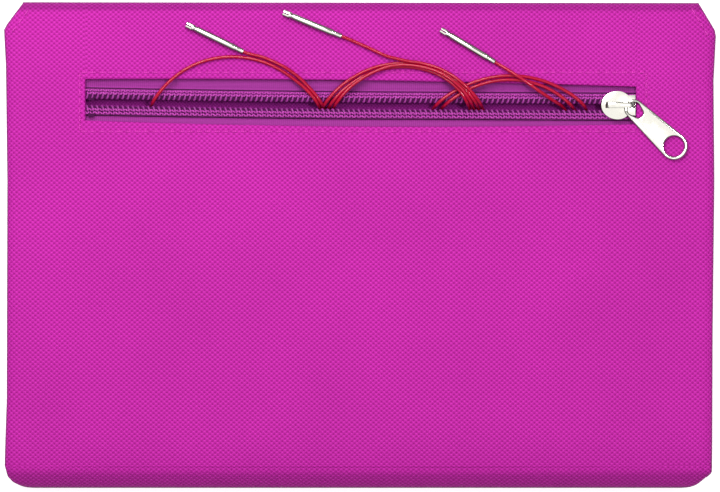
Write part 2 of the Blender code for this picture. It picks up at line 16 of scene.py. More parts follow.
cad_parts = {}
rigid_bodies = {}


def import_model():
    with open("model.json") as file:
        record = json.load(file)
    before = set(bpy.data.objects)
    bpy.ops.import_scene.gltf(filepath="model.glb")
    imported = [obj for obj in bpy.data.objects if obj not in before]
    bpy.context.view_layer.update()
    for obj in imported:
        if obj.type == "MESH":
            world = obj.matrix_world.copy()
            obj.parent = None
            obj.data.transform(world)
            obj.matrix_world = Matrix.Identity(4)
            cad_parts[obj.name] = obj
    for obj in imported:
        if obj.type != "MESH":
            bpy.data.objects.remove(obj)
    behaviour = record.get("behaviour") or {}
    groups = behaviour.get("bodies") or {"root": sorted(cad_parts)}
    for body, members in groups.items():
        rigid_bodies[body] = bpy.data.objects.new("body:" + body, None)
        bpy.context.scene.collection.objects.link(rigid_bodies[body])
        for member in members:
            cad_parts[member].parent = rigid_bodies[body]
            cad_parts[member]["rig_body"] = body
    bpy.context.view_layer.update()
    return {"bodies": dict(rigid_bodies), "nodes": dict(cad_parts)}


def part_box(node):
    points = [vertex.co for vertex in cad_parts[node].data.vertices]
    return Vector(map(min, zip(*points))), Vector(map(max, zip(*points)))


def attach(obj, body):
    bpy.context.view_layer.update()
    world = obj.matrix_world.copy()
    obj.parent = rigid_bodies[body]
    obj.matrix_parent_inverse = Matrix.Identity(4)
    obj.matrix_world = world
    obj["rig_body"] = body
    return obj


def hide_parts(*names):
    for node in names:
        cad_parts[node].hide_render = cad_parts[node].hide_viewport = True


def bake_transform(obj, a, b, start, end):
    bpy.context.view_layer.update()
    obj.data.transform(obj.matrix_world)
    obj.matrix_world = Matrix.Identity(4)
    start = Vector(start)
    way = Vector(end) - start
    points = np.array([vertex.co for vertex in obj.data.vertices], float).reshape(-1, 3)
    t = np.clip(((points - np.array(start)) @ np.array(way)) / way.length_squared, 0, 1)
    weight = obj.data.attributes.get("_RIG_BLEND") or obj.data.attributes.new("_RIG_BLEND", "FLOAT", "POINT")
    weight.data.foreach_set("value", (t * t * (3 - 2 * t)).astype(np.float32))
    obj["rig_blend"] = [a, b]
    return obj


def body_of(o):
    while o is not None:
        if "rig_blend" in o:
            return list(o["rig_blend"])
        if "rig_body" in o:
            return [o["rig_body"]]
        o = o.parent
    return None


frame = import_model()

# ---------------------------------------------------------------- driving dimensions

HALF_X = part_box("back_cover")[1].x - 0.0008
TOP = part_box("back_cover")[1].y
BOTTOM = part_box("spine_cover")[0].y - 0.0004
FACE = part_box("back_cover")[1].z
BACK_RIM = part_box("back_cover")[0].z
FRONT_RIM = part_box("front_cover")[1].z
PANEL_UNDER = FACE - 0.0018
COVER_SKIN = 0.0012
EDGE_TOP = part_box("front_lining")[1].z
RIM_WALL = 0.0037
EDGE_WALL = 0.0024
PAD_X = 0.1070
PAD_Y = 0.0560
RIM_END = -0.0815
GAP = 0.0003

# Outline of the back panel: half widths at heights along the case, left and right
LEFT_EDGE = ((-0.0854, 0.1198), (-0.0839, 0.1222), (-0.0818, 0.1238), (-0.0773, 0.1248),
             (-0.0540, 0.1240), (0.0230, 0.1238), (0.0633, 0.1243), (0.0763, 0.1250), (0.0850, 0.1185))
RIGHT_EDGE = ((-0.0854, 0.1180), (-0.0848, 0.1189), (-0.0800, 0.1236), (-0.0296, 0.1238), (0.0230, 0.1244),
              (0.0581, 0.1241), (0.0749, 0.1250), (0.0850, 0.1190))

# Zip window: left and right ends, and the heights of its two edges at left, middle and right
WINDOW_X = (-0.0963, 0.0968)
WINDOW_LOW = (0.0439, 0.0418, 0.0426)
WINDOW_HIGH = (0.0583, 0.0579, 0.0556)
WINDOW_ROWS = (0.0425, 0.0577)

# Stitch line round the window: left, right, low and high
STITCH_FRAME = (-0.0982, 0.1003, 0.0400, 0.0607)

# The face turns down to the spine, slowly at first
ROLL_Y = -0.0640
ROLL_REACH = ROLL_Y - BOTTOM
ROLL_DEPTH = 0.0085
FOLD_Y = -0.0775
SPINE_Z = (0.0050, 0.0160)
LOWER_FOLD_R = 0.0030
CLOTH = 0.0008

# Weave: spacing of the yarns along the case and across it
YARN = (0.00094, 0.000815)

# Zip
SLIT_Y = 0.04885
SLIT_Z = 0.0220
COIL_PITCH = 0.0018
COIL_X = (-0.0960, 0.0935)
COIL_Z = (0.0219, 0.0233)
UPPER_COIL = (0.0500, 0.0527)
LOWER_COIL = (0.0481, 0.0452)
TAPE_Z = (0.0210, 0.0216)

# Cords
CORD_D = 0.0012
BEND_R = 0.0030
CLIMB = math.radians(76.0)
CORD_STEP = 0.00125
FACE_LEVEL = FACE + 0.0009
POCKET_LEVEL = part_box("pocket_lining")[1].z + 0.0010

# ---------------------------------------------------------------- materials


class Finish:
    """A procedural material: one Principled shader and the nodes that feed it."""

    def __init__(self, name, sockets):
        self.material = bpy.data.materials.new(name)
        self.material.use_nodes = True
        self.tree = self.material.node_tree
        self.shader = self.tree.nodes["Principled BSDF"]
        for socket, value in sockets.items():
            self.feed(self.shader.inputs[socket], value)

    def feed(self, socket, value):
        if isinstance(value, bpy.types.NodeSocket):
            self.tree.links.new(value, socket)
        else:
            socket.default_value = value

    def node(self, kind, inputs=(), **settings):
        made = self.tree.nodes.new("ShaderNode" + kind)
        for key, value in settings.items():
            setattr(made, key, value)
        for key, value in dict(inputs).items():
            self.feed(made.inputs[key], value)
        return made

    def math(self, operation, first, second=0.0):
        return self.node("Math", {0: first, 1: second}, operation=operation).outputs[0]

    def span(self, value, low, high, new_low, new_high):
        inputs = {0: value, 1: low, 2: high, 3: new_low, 4: new_high}
        return self.node("MapRange", inputs).outputs[0]

    def mix(self, factor, first, second, blend="MIX"):
        made = self.node("Mix", data_type="RGBA", blend_type=blend)
        self.feed(made.inputs[0], factor)
        self.feed(made.inputs[6], first)
        self.feed(made.inputs[7], second)
        return made.outputs[2]

    def noise(self, where, scale, detail=3.0, roughness=0.5):
        inputs = {"Vector": where, "Scale": scale, "Detail": detail, "Roughness": roughness}
        return self.node("TexNoise", inputs).outputs["Fac"]

    def bump(self, height, distance, strength):
        inputs = {"Height": height, "Distance": distance, "Strength": strength}
        return self.node("Bump", inputs).outputs["Normal"]

    def place(self):
        """Coordinates that stay on the piece: its own rest frame, in metres."""
        return self.node("TexCoord").outputs["Object"]

    def weave_place(self):
        """Coordinates along the cloth, written on the mesh in metres; the third one is a mask of painted
        shade.
        """
        return self.node("Attribute", attribute_name="weave").outputs["Vector"]

    def set(self, **sockets):
        for socket, value in sockets.items():
            self.feed(self.shader.inputs[socket.replace("_", " ")], value)


def rgb(red, green, blue):
    return (red, green, blue, 1.0)


def woven(name, dark, bright, yarn, sheen, by_mesh=True):
    """Plain weave: bright crowns where a yarn passes over, dark pits between them. It follows the
    coordinates written on the mesh, or else the piece's own frame. The third coordinate is a mask of
    painted shade, from 0 on open cloth to 2 where the edges and the spine fold are painted darkest."""
    made = Finish(name, {"Roughness": 0.72, "Sheen Weight": sheen, "Sheen Roughness": 0.45})
    made.shader.inputs["Sheen Tint"].default_value = bright
    made.shader.inputs["Specular IOR Level"].default_value = 0.12
    place = made.weave_place() if by_mesh else made.place()
    axes = made.node("SeparateXYZ", {0: place}).outputs
    along = made.math("COSINE", made.math("MULTIPLY", axes[0], math.pi / yarn[0]))
    across = made.math("COSINE", made.math("MULTIPLY", axes[1], math.pi / yarn[1]))
    crossing = made.math("MULTIPLY", along, across)
    crown = made.span(crossing, -1.0, 1.0, 0.0, 1.0)
    fibre = made.noise(place, 1400.0, 2.0)
    patch = made.noise(place, 22.0, 3.0)
    height = made.math("ADD", made.math("ABSOLUTE", crossing), made.math("MULTIPLY", fibre, 0.35))
    shade = made.math("ADD", made.math("MULTIPLY", crown, 0.80), made.math("MULTIPLY", fibre, 0.20))
    colour = made.mix(shade, dark, bright)
    # Painted shade: the third coordinate darkens the colour, down to 0.36 on the darkest edge.
    folded = made.span(axes[2], 0.0, 2.0, 1.0, 0.36)
    tone = made.math("MULTIPLY", made.span(patch, 0.3, 0.7, 0.95, 1.04), folded)
    tint = made.node("CombineColor", {0: tone, 1: tone, 2: tone}).outputs[0]
    made.set(Base_Color=made.mix(1.0, colour, tint, "MULTIPLY"))
    made.set(Roughness=made.span(fibre, 0.2, 0.8, 0.62, 0.82))
    made.set(Normal=made.bump(height, 0.00012, 0.9))
    return made.material


def ribbed(name, dark, bright, pitch, roughness):
    """Narrow woven ribs that run along the piece's length, as on tape and elastic."""
    made = Finish(name, {"Sheen Weight": 0.05, "Specular IOR Level": 0.12})
    place = made.weave_place()
    axes = made.node("SeparateXYZ", {0: place}).outputs
    rib = made.math("SINE", made.math("MULTIPLY", axes[0], 2.0 * math.pi / pitch[0]))
    pick = made.math("SINE", made.math("MULTIPLY", axes[1], 2.0 * math.pi / pitch[1]))
    cross = made.math("ADD", made.math("MULTIPLY", rib, 0.5), made.math("MULTIPLY", pick, 0.5))
    fibre = made.noise(place, 1100.0, 3.0)
    shade = made.math("ADD", made.span(cross, -1.0, 1.0, 0.0, 0.7), made.math("MULTIPLY", fibre, 0.3))
    made.set(Base_Color=made.mix(shade, dark, bright))
    made.set(Roughness=made.span(fibre, 0.2, 0.8, roughness - 0.1, roughness + 0.1))
    made.set(Normal=made.bump(shade, 0.00010, 0.8))
    return made.material


def thread(name, dark, bright):
    made = Finish(name, {"Roughness": 0.6, "Sheen Weight": 0.05, "Specular IOR Level": 0.2})
    place = made.place()
    twist = made.node("TexWave", {"Vector": place, "Scale": 900.0, "Distortion": 2.0},
                      bands_direction="DIAGONAL").outputs["Fac"]
    made.set(Base_Color=made.mix(twist, dark, bright))
    made.set(Normal=made.bump(twist, 0.00005, 0.7))
    return made.material


def pile(name, dark, bright, scale, depth):
    """Hook or loop pile."""
    made = Finish(name, {"Roughness": 0.9, "Sheen Weight": 0.3})
    place = made.place()
    cells = made.node("TexVoronoi", {"Vector": place, "Scale": scale}).outputs["Distance"]
    fluff = made.noise(place, 900.0, 4.0, 0.7)
    height = made.math("ADD", cells, made.math("MULTIPLY", fluff, 0.6))
    made.set(Base_Color=made.mix(height, dark, bright))
    made.set(Normal=made.bump(height, depth, 1.0))
    return made.material


def metal(name, colour, worn, roughness):
    """Plated metal with faint drawing lines and small rubbed patches. A painted reflection sets its colour:
    bright where it faces the eye, dark where it turns away and light grey again at a grazing view."""
    made = Finish(name, {"Metallic": 1.0, "Specular IOR Level": 0.5})
    place = made.place()
    stretched = made.node("Mapping", {"Vector": place, "Scale": (900.0, 900.0, 120.0)}).outputs[0]
    lines = made.noise(stretched, 1.0, 2.0)
    rub = made.noise(place, 260.0, 4.0, 0.6)
    rubbed = made.span(rub, 0.55, 0.72, 0.0, 1.0)
    # Painted reflection: the colour goes dark where the surface turns from the eye and light grey again at a
    # grazing view.
    turned_away = made.node("LayerWeight", {"Blend": 0.5}).outputs["Facing"]
    grey = made.math("MAXIMUM", made.span(turned_away, 0.12, 0.32, 1.0, 0.10),
                     made.span(turned_away, 0.50, 0.62, 0.0, 0.80))
    shade = made.node("CombineColor", {0: grey, 1: grey, 2: grey}).outputs[0]
    made.set(Base_Color=made.mix(1.0, made.mix(rubbed, colour, worn), shade, "MULTIPLY"))
    gloss = made.math("ADD", made.span(lines, 0.2, 0.8, 0.0, 0.05), made.math("MULTIPLY", rubbed, 0.06))
    made.set(Roughness=made.math("ADD", gloss, roughness))
    made.set(Normal=made.bump(lines, 0.000004, 0.1))
    return made.material


def board_finish():
    made = Finish("grey_board", {"Roughness": 0.9})
    place = made.place()
    stretched = made.node("Mapping", {"Vector": place, "Scale": (90.0, 500.0, 400.0)}).outputs[0]
    fibre = made.noise(stretched, 1.0, 5.0, 0.65)
    fleck = made.noise(place, 1500.0, 2.0)
    colour = made.mix(fibre, rgb(0.20, 0.18, 0.155), rgb(0.42, 0.39, 0.34))
    made.set(Base_Color=made.mix(made.span(fleck, 0.6, 0.75, 0.0, 0.5), colour, rgb(0.1, 0.09, 0.08)))
    made.set(Normal=made.bump(fibre, 0.00008, 0.6))
    return made.material


def cord_finish():
    """Clear red plastic over a thin core: glossy, and a little light passes through."""
    made = Finish("red_cord", {"Roughness": 0.12, "Specular IOR Level": 0.6})
    made.shader.inputs["Specular Tint"].default_value = rgb(1.0, 0.66, 0.70)
    made.shader.inputs["Subsurface Weight"].default_value = 0.10
    made.shader.inputs["Subsurface Radius"].default_value = (0.0012, 0.0002, 0.0002)
    made.shader.inputs["Subsurface Scale"].default_value = 1.0
    made.shader.inputs["Transmission Weight"].default_value = 0.25
    made.shader.inputs["IOR"].default_value = 1.46
    place = made.place()
    cloud = made.noise(place, 160.0, 3.0)
    made.set(Base_Color=made.mix(cloud, rgb(0.40, 0.001, 0.026), rgb(0.55, 0.003, 0.046)))
    made.set(Normal=made.bump(made.noise(place, 420.0, 2.0), 0.00003, 0.3))
    return made.material


def coil_finish():
    made = Finish("zip_coil_nylon", {"Roughness": 0.32, "Specular IOR Level": 0.35, "Coat Weight": 0.05})
    place = made.place()
    cloud = made.noise(place, 700.0, 3.0)
    made.set(Base_Color=made.mix(cloud, rgb(0.16, 0.008, 0.14), rgb(0.36, 0.036, 0.31)))
    made.set(Roughness=made.span(cloud, 0.2, 0.8, 0.25, 0.42))
    made.set(Normal=made.bump(cloud, 0.00003, 0.4))
    return made.material


def floor_finish():
    made = Finish("pale_floor", {"Roughness": 0.9, "Specular IOR Level": 0.1, "Emission Strength": 0.75})
    made.shader.inputs["Emission Color"].default_value = rgb(1.0, 1.0, 1.0)
    place = made.place()
    made.set(Base_Color=made.mix(made.noise(place, 3.0), rgb(0.58, 0.58, 0.58), rgb(0.60, 0.60, 0.60)))
    return made.material


SHELL = woven("shell_weave", rgb(0.25, 0.001, 0.155), rgb(0.60, 0.028, 0.43), YARN, 0.01)
LINING = woven("lining_weave", rgb(0.13, 0.006, 0.10), rgb(0.30, 0.020, 0.22), (0.0005, 0.0005), 0.25)
POCKET = woven("pocket_weave", rgb(0.20, 0.005, 0.17), rgb(0.40, 0.022, 0.34), (0.0006, 0.0006), 0.1,
               by_mesh=False)
BOARD = board_finish()
ELASTIC = ribbed("elastic_ribs", rgb(0.06, 0.004, 0.05), rgb(0.20, 0.020, 0.17), (0.0012, 0.0009), 0.7)
HOOKS = pile("hook_pile", rgb(0.10, 0.006, 0.08), rgb(0.34, 0.03, 0.26), 1500.0, 0.0004)
LOOPS = pile("loop_pile", rgb(0.16, 0.008, 0.12), rgb(0.46, 0.05, 0.34), 900.0, 0.0003)
TAPE = ribbed("zip_tape_weave", rgb(0.19, 0.012, 0.16), rgb(0.36, 0.040, 0.31), (0.0007, 0.0005), 0.7)
# Near-black colour of the coil's filler cord, which paints the shade between the coil's turns; it also paints
# the shadow line in each tape's groove and colours the top stops.
PAINTED_SHADE_DARK = ribbed("zip_filler_painted_shade", rgb(0.030, 0.001, 0.028), rgb(0.075, 0.003, 0.065), (0.0009, 0.0006), 0.8)
COIL = coil_finish()
NICKEL = metal("bright_nickel", rgb(0.90, 0.88, 0.80), rgb(0.84, 0.81, 0.72), 0.08)
STEEL = metal("tip_steel", rgb(0.80, 0.80, 0.82), rgb(0.70, 0.70, 0.72), 0.16)
CORD = cord_finish()
SHELL_THREAD = thread("shell_thread", rgb(0.42, 0.006, 0.27), rgb(0.66, 0.04, 0.46))
LINING_THREAD = thread("lining_thread", rgb(0.16, 0.01, 0.12), rgb(0.42, 0.05, 0.32))
ZIP_THREAD = thread("zip_thread", rgb(0.26, 0.010, 0.22), rgb(0.58, 0.075, 0.48))
FLOOR = floor_finish()

# ---------------------------------------------------------------- mesh helpers


def finished(piece, materials, body, replaces=(), smooth=50.0):
    """Gives a mesh its materials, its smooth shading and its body."""
    for one in materials:
        piece.data.materials.append(one)
    if piece.type == "MESH":
        piece.data.shade_smooth()
        piece.data.set_sharp_from_angle(angle=math.radians(smooth))
    if body is not None:
        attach(piece, body)
    if replaces:
        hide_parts(*replaces)
    return piece


def new_object(name, data):
    piece = bpy.data.objects.new(name, data)
    bpy.context.scene.collection.objects.link(piece)
    return piece


def mesh_object(name, points, faces, weave=None, kinds=None):
    mesh = bpy.data.meshes.new(name)
    mesh.from_pydata([tuple(map(float, p)) for p in points], [], faces)
    if weave is not None:
        layer = mesh.attributes.new("weave", "FLOAT_VECTOR", "POINT")
        layer.data.foreach_set("vector", np.asarray(weave, np.float32).ravel())
    if kinds is not None:
        mesh.polygons.foreach_set("material_index", kinds)
    mesh.update()
    return new_object(name, mesh)


def filled(marks, step):
    """The marks in order, with even values added wherever two are further apart than the step."""
    marks = sorted(marks)
    result = [marks[0]]
    for one, two in zip(marks, marks[1:]):
        count = max(1, math.ceil((two - one) / step - 1e-6))
        result += [one + (two - one) * k / count for k in range(1, count + 1)]
    return result


def block_loop(rows, columns):
    """Grid points round a block, anticlockwise from its lower left corner."""
    (low, high), (left, right) = rows, columns
    around = [(low, i) for i in range(left, right)]
    around += [(j, right) for j in range(low, high)]
    around += [(high, i) for i in range(right, left, -1)]
    around += [(j, left) for j in range(high, low, -1)]
    return around


def arc_weave(points):
    """Coordinates along the cloth: the length walked along each row and each column of a grid."""
    rows, columns = points.shape[:2]
    across = np.linalg.norm(np.diff(points[:, :, [0, 2]], axis=1), axis=2)
    along = np.linalg.norm(np.diff(points[:, :, [1, 2]], axis=0), axis=2)
    u = np.concatenate([np.zeros((rows, 1)), np.cumsum(across, axis=1)], axis=1)
    v = np.concatenate([np.zeros((1, columns)), np.cumsum(along, axis=0)], axis=0)
    middle = columns // 2
    u += points[:, middle : middle + 1, 0] - u[:, middle : middle + 1]
    centre = int(np.argmin(np.abs(points[:, middle, 1])))
    v += points[centre : centre + 1, :, 1] - v[centre : centre + 1, :]
    return np.stack([u, v, np.zeros_like(u)], axis=2)


def closed_cloth(name, top, bottom, weave, rings=(), hole=None, under=0, still_rows=()):
    """A closed piece between two grids of points. Rings shape its outer wall: each is a share of the
    way down and a distance outwards. A hole is a block of cells, given as rows and columns."""
    rows, columns = top.shape[:2]
    count = rows * columns
    points = [*top.reshape(-1, 3), *bottom.reshape(-1, 3)]
    coordinates = [*weave.reshape(-1, 3), *weave.reshape(-1, 3)]
    faces, kinds = [], []

    def inside(j, i):
        return hole and hole[0][0] <= j < hole[0][1] and hole[1][0] <= i < hole[1][1]

    for j in range(rows - 1):
        for i in range(columns - 1):
            if inside(j, i):
                continue
            a, b = j * columns + i, (j + 1) * columns + i
            faces.append((a, a + 1, b + 1, b))
            faces.append((count + b, count + b + 1, count + a + 1, count + a))
            kinds += [0, under]

    def wall(loop, levels, sign):
        size = len(loop)
        flat = [top[j, i] for j, i in loop]
        chain = [[j * columns + i for j, i in loop]]
        for share, out in levels:
            ring = []
            for k, (j, i) in enumerate(loop):
                tangent = flat[(k + 1) % size] - flat[k - 1]
                outward = np.array([tangent[1], -tangent[0], 0.0])
                outward /= max(np.linalg.norm(outward), 1e-9)
                reach = 0.0 if j in still_rows else out
                down = bottom[j, i] - top[j, i]
                points.append(top[j, i] + down * share + outward * reach)
                coordinates.append(weave[j, i] + outward * np.linalg.norm(down) * share)
                ring.append(len(points) - 1)
            chain.append(ring)
        chain.append([count + j * columns + i for j, i in loop])
        for upper, lower in zip(chain, chain[1:]):
            for k in range(size):
                following = (k + 1) % size
                face = (upper[k], lower[k], lower[following], upper[following])
                faces.append(face[::sign])
                kinds.append(0)

    wall(block_loop((0, rows - 1), (0, columns - 1)), rings, 1)
    if hole:
        wall(block_loop(*hole), (), -1)
    piece = mesh_object(name, points, faces, coordinates, kinds)
    bm = bmesh.new()
    bm.from_mesh(piece.data)
    bmesh.ops.delete(bm, geom=[v for v in bm.verts if not v.link_faces], context="VERTS")
    bm.to_mesh(piece.data)
    bm.free()
    return piece


def turned(name, profile, sides, place):
    """A solid of revolution about Y. Its profile is (radius, y) from one end of the axis to the other."""
    points, rings, faces = [], [], []
    for radius, y in profile:
        if radius == 0.0:
            rings.append([len(points)])
            points.append((0.0, y, 0.0))
            continue
        rings.append(list(range(len(points), len(points) + sides)))
        for index in range(sides):
            angle = 2.0 * math.pi * index / sides
            points.append((radius * math.cos(angle), y, radius * math.sin(angle)))
    for one, two in zip(rings, rings[1:]):
        for index in range(sides):
            following = (index + 1) % sides
            if len(one) == 1:
                faces.append((one[0], two[following], two[index]))
            elif len(two) == 1:
                faces.append((one[index], one[following], two[0]))
            else:
                faces.append((one[index], one[following], two[following], two[index]))
    piece = mesh_object(name, points, faces)
    piece.data.transform(place)
    return piece


def beads(name, pairs, radius, sides=6):
    """Many short lengths of thread, each thin at both ends, as one piece."""
    points, faces = [], []
    shape = ((0.0, 0.0), (0.10, 0.75), (0.30, 1.0), (0.70, 1.0), (0.90, 0.75), (1.0, 0.0))
    for start, end in pairs:
        start, end = Vector(start), Vector(end)
        axis = end - start
        side = axis.cross(Vector((0.0, 0.0, 1.0)))
        if side.length < 1e-9:
            side = Vector((1.0, 0.0, 0.0))
        side.normalize()
        up = side.cross(axis).normalized()
        rings = []
        for share, width in shape:
            middle = start + axis * share
            if width == 0.0:
                rings.append([len(points)])
                points.append(middle)
                continue
            rings.append(list(range(len(points), len(points) + sides)))
            for k in range(sides):
                angle = 2.0 * math.pi * k / sides
                turn = side * math.cos(angle) + up * math.sin(angle)
                points.append(middle + turn * radius * width)
        for one, two in zip(rings, rings[1:]):
            for k in range(sides):
                other = (k + 1) % sides
                if len(one) == 1:
                    faces.append((one[0], two[other], two[k]))
                elif len(two) == 1:
                    faces.append((one[k], one[other], two[0]))
                else:
                    faces.append((one[k], one[other], two[other], two[k]))
    return mesh_object(name, points, faces)


def tube_mesh(name, line, radius, sides):
    """A tube along an open line of points, closed at both ends."""
    line = [Vector(p) for p in line]
    points, faces = [], []
    up = Vector((0.0, 0.0, 1.0))
    for index, point in enumerate(line):
        ahead = line[min(index + 1, len(line) - 1)] - line[max(index - 1, 0)]
        ahead.normalize()
        side = ahead.cross(up)
        if side.length < 1e-6:
            side = Vector((1.0, 0.0, 0.0))
        side.normalize()
        up = side.cross(ahead).normalized()
        for k in range(sides):
            angle = 2.0 * math.pi * k / sides
            points.append(point + (side * math.cos(angle) + up * math.sin(angle)) * radius)
    for index in range(len(line) - 1):
        base = index * sides
        for k in range(sides):
            other = (k + 1) % sides
            faces.append((base + k, base + other, base + sides + other, base + sides + k))
    faces.append(tuple(range(sides))[::-1])
    faces.append(tuple(range(len(points) - sides, len(points))))
    return mesh_object(name, points, faces)


def prism_object(name, outline, low, high):
    """An upright prism on a closed outline of (x, y) points."""
    bm = bmesh.new()
    base = bm.faces.new([bm.verts.new((x, y, low)) for x, y in outline])
    raised = bmesh.ops.extrude_face_region(bm, geom=[base])["geom"]
    moved = [v for v in raised if isinstance(v, bmesh.types.BMVert)]
    bmesh.ops.translate(bm, vec=(0.0, 0.0, high - low), verts=moved)
    bmesh.ops.recalc_face_normals(bm, faces=bm.faces[:])
    mesh = bpy.data.meshes.new(name)
    bm.to_mesh(mesh)
    bm.free()
    return new_object(name, mesh)


def combined(piece, tools, width, steps=3):
    """Applies each tool, (object, operation), to the piece, and then rounds its sharp edges."""
    for tool, operation in tools:
        step = piece.modifiers.new(tool.name, "BOOLEAN")
        step.operation = operation
        step.object = tool
        step.solver = "EXACT"
    soft = piece.modifiers.new("rounded", "BEVEL")
    soft.width = width
    soft.segments = steps
    soft.limit_method = "ANGLE"
    soft.angle_limit = math.radians(35.0)
    bpy.context.view_layer.update()
    shown = piece.evaluated_get(bpy.context.evaluated_depsgraph_get())
    mesh = bpy.data.meshes.new_from_object(shown)
    piece.modifiers.clear()
    piece.data = mesh
    for tool, _ in tools:
        bpy.data.objects.remove(tool)


def rectangle(x0, x1, y0, y1):
    return ((x0, y0), (x1, y0), (x1, y1), (x0, y1))


def smoothstep(value):
    value = np.clip(value, 0.0, 1.0)
    return value * value * (3.0 - 2.0 * value)


# ---------------------------------------------------------------- outline and face heights


def edge_width(side, y):
    """Half width of the case on one side at a height along it."""
    heights, widths = zip(*side)
    return float(np.interp(y, heights, widths))


def through_three(values, x):
    """A parabola with the given values at the left end, the middle and the right end."""
    left, middle, right = values
    share = x / WINDOW_X[1]
    return middle + 0.5 * (right - left) * share + (0.5 * (left + right) - middle) * share**2


def top_edge(x):
    return TOP + 0.0003 - 0.0012 * x


def corner_distance(side, x, y):
    """Distance inwards from the chamfer line of one top corner."""
    (y0, x0), (y1, x1) = side[-2:]
    run, rise = x0 - x1, y1 - y0
    return ((x0 - abs(x)) * rise + (y0 - y) * run) / math.hypot(run, rise)


def rim_distance(x, y):
    """Distance inwards from the outline, apart from the spine edge."""
    side = LEFT_EDGE if x < 0.0 else RIGHT_EDGE
    return max(0.0, min(edge_width(side, y) - abs(x), top_edge(x) - y, corner_distance(side, x, y)))


def rolled(distance, reach, depth):
    """How far an edge has rolled down, at a distance inwards from it."""
    share = 1.0 - min(1.0, max(0.0, distance / reach))
    return depth * (1.0 - math.sqrt(max(0.0, 1.0 - share * share)))


def spine_drop(y):
    share = min(1.0, max(0.0, (ROLL_Y - y) / ROLL_REACH))
    return ROLL_DEPTH * (1.0 - max(0.0, 1.0 - share**2.5) ** 0.4)


def face_swell(x, y):
    """Slow waves of the padded panel, calm about the zip."""
    calm = float(smoothstep((0.030 - y) / 0.050))
    wave = noise.noise(Vector((x * 16.0, y * 16.0, 3.1)))
    wave += 0.5 * noise.noise(Vector((x * 42.0, y * 42.0, 7.7)))
    return 0.00022 * wave * (0.35 + 0.65 * calm) + 0.0003 * calm * math.cos(x * 12.0)


def window_distance(x, y):
    """Distance outwards from the zip window's edge, negative inside it."""
    low, high = through_three(WINDOW_LOW, x), through_three(WINDOW_HIGH, x)
    return max(WINDOW_X[0] - x, x - WINDOW_X[1], low - y, y - high)


def stitch_line_distance(x, y):
    left, right, low, high = STITCH_FRAME
    inside_x, inside_y = min(x - left, right - x), min(y - low, high - y)
    inside = min(inside_x, inside_y)
    if inside >= 0.0:
        return inside
    return math.hypot(min(0.0, inside_x), min(0.0, inside_y))


def face_height(x, y):
    """Height of the back panel's outer face."""
    height = FACE + face_swell(x, y) - spine_drop(y)
    height -= rolled(rim_distance(x, y), 0.0034, 0.0026) + rolled(top_edge(x) - y, 0.0048, 0.0010)
    away = window_distance(x, y)
    height -= rolled(away, 0.0007, 0.0005)
    height -= 0.00015 * math.exp(-((stitch_line_distance(x, y) / 0.0006) ** 2))
    return height


# ---------------------------------------------------------------- covers

EDGE_STEPS = (0.0, 0.00015, 0.0004, 0.0008, 0.0013, 0.0019, 0.0026, 0.0034)


def panel_columns(window):
    marks = []
    for step in EDGE_STEPS + (RIM_WALL, RIM_WALL + GAP):
        marks += [-HALF_X + step, HALF_X - step]
    marks += [-PAD_X, -PAD_X + GAP, PAD_X - GAP, PAD_X]
    if window:
        marks += hem_marks(WINDOW_X[0], -1.0) + hem_marks(WINDOW_X[1], 1.0)
        marks += [STITCH_FRAME[1], STITCH_FRAME[1] - 0.0005, STITCH_FRAME[1] + 0.0005]
    return filled(marks, 0.0022)


def hem_marks(edge, sign):
    return [edge + sign * step for step in (0.0, 0.0002, 0.0005, 0.0009, 0.0014, 0.0019, 0.0025)]


def panel_rows(window):
    marks = [TOP - step for step in EDGE_STEPS + (EDGE_WALL, EDGE_WALL + GAP)]
    marks += [PAD_Y, PAD_Y + GAP, RIM_END, RIM_END + EDGE_WALL, RIM_END + EDGE_WALL + GAP]
    marks += [FOLD_Y, FOLD_Y - 0.0002]
    if window:
        marks += hem_marks(WINDOW_ROWS[0], -1.0) + hem_marks(WINDOW_ROWS[1], 1.0)
        marks += [STITCH_FRAME[3], STITCH_FRAME[3] + 0.0005]
    return filled(marks, 0.0022)


def warped(x, y, window):
    """Moves a grid point so that the outer columns and rows follow the outline and the window."""
    if window:
        low, high = WINDOW_ROWS
        new_low, new_high = through_three(WINDOW_LOW, x), through_three(WINDOW_HIGH, x)
        near = float(smoothstep(1.0 - max(0.0, abs(x) - WINDOW_X[1]) / 0.020))
        new_low, new_high = low + (new_low - low) * near, high + (new_high - high) * near
        y = float(np.interp(y, (RIM_END, low, high, TOP), (RIM_END, new_low, new_high, top_edge(x))))
    else:
        y = float(np.interp(y, (0.0, TOP), (0.0, top_edge(x)))) if y > 0.0 else y
    side = LEFT_EDGE if x < 0.0 else RIGHT_EDGE
    width = edge_width(side, y)
    inner = PAD_X * 0.9
    if abs(x) > inner:
        share = (abs(x) - inner) / (HALF_X - inner)
        x = math.copysign(inner + share * (width - inner), x)
    return x, y


def index_of(values, value):
    return int(np.argmin(np.abs(np.array(values) - value)))


def in_rim(x, y):
    """Whether a grid point of a panel lies on its rim or on one of the two corner pads."""
    side = abs(x) > HALF_X - RIM_WALL - 1e-6
    pad = abs(x) > PAD_X - 1e-6 and y > PAD_Y + GAP - 1e-6
    return side or pad


def in_edge(y):
    return y > TOP - EDGE_WALL - 1e-6 or y < RIM_END + EDGE_WALL + 1e-6


def painted_edge_shade(x, y):
    """How much painted shade darkens a place on the cloth: along the free edge, the outline and the spine
    fold, where the cloth curves away from the light.
    """
    free_edge = smoothstep((0.0032 - (top_edge(x) - y)) / 0.0009)
    outline = 1.6 * smoothstep((0.0006 - rim_distance(x, y)) / 0.0005)
    spine_edge = 0.85 * smoothstep((-0.0782 - y) / 0.0030) + 1.15 * smoothstep((BOTTOM + 0.0008 - y) / 0.0006)
    return float(max(free_edge, outline, spine_edge))


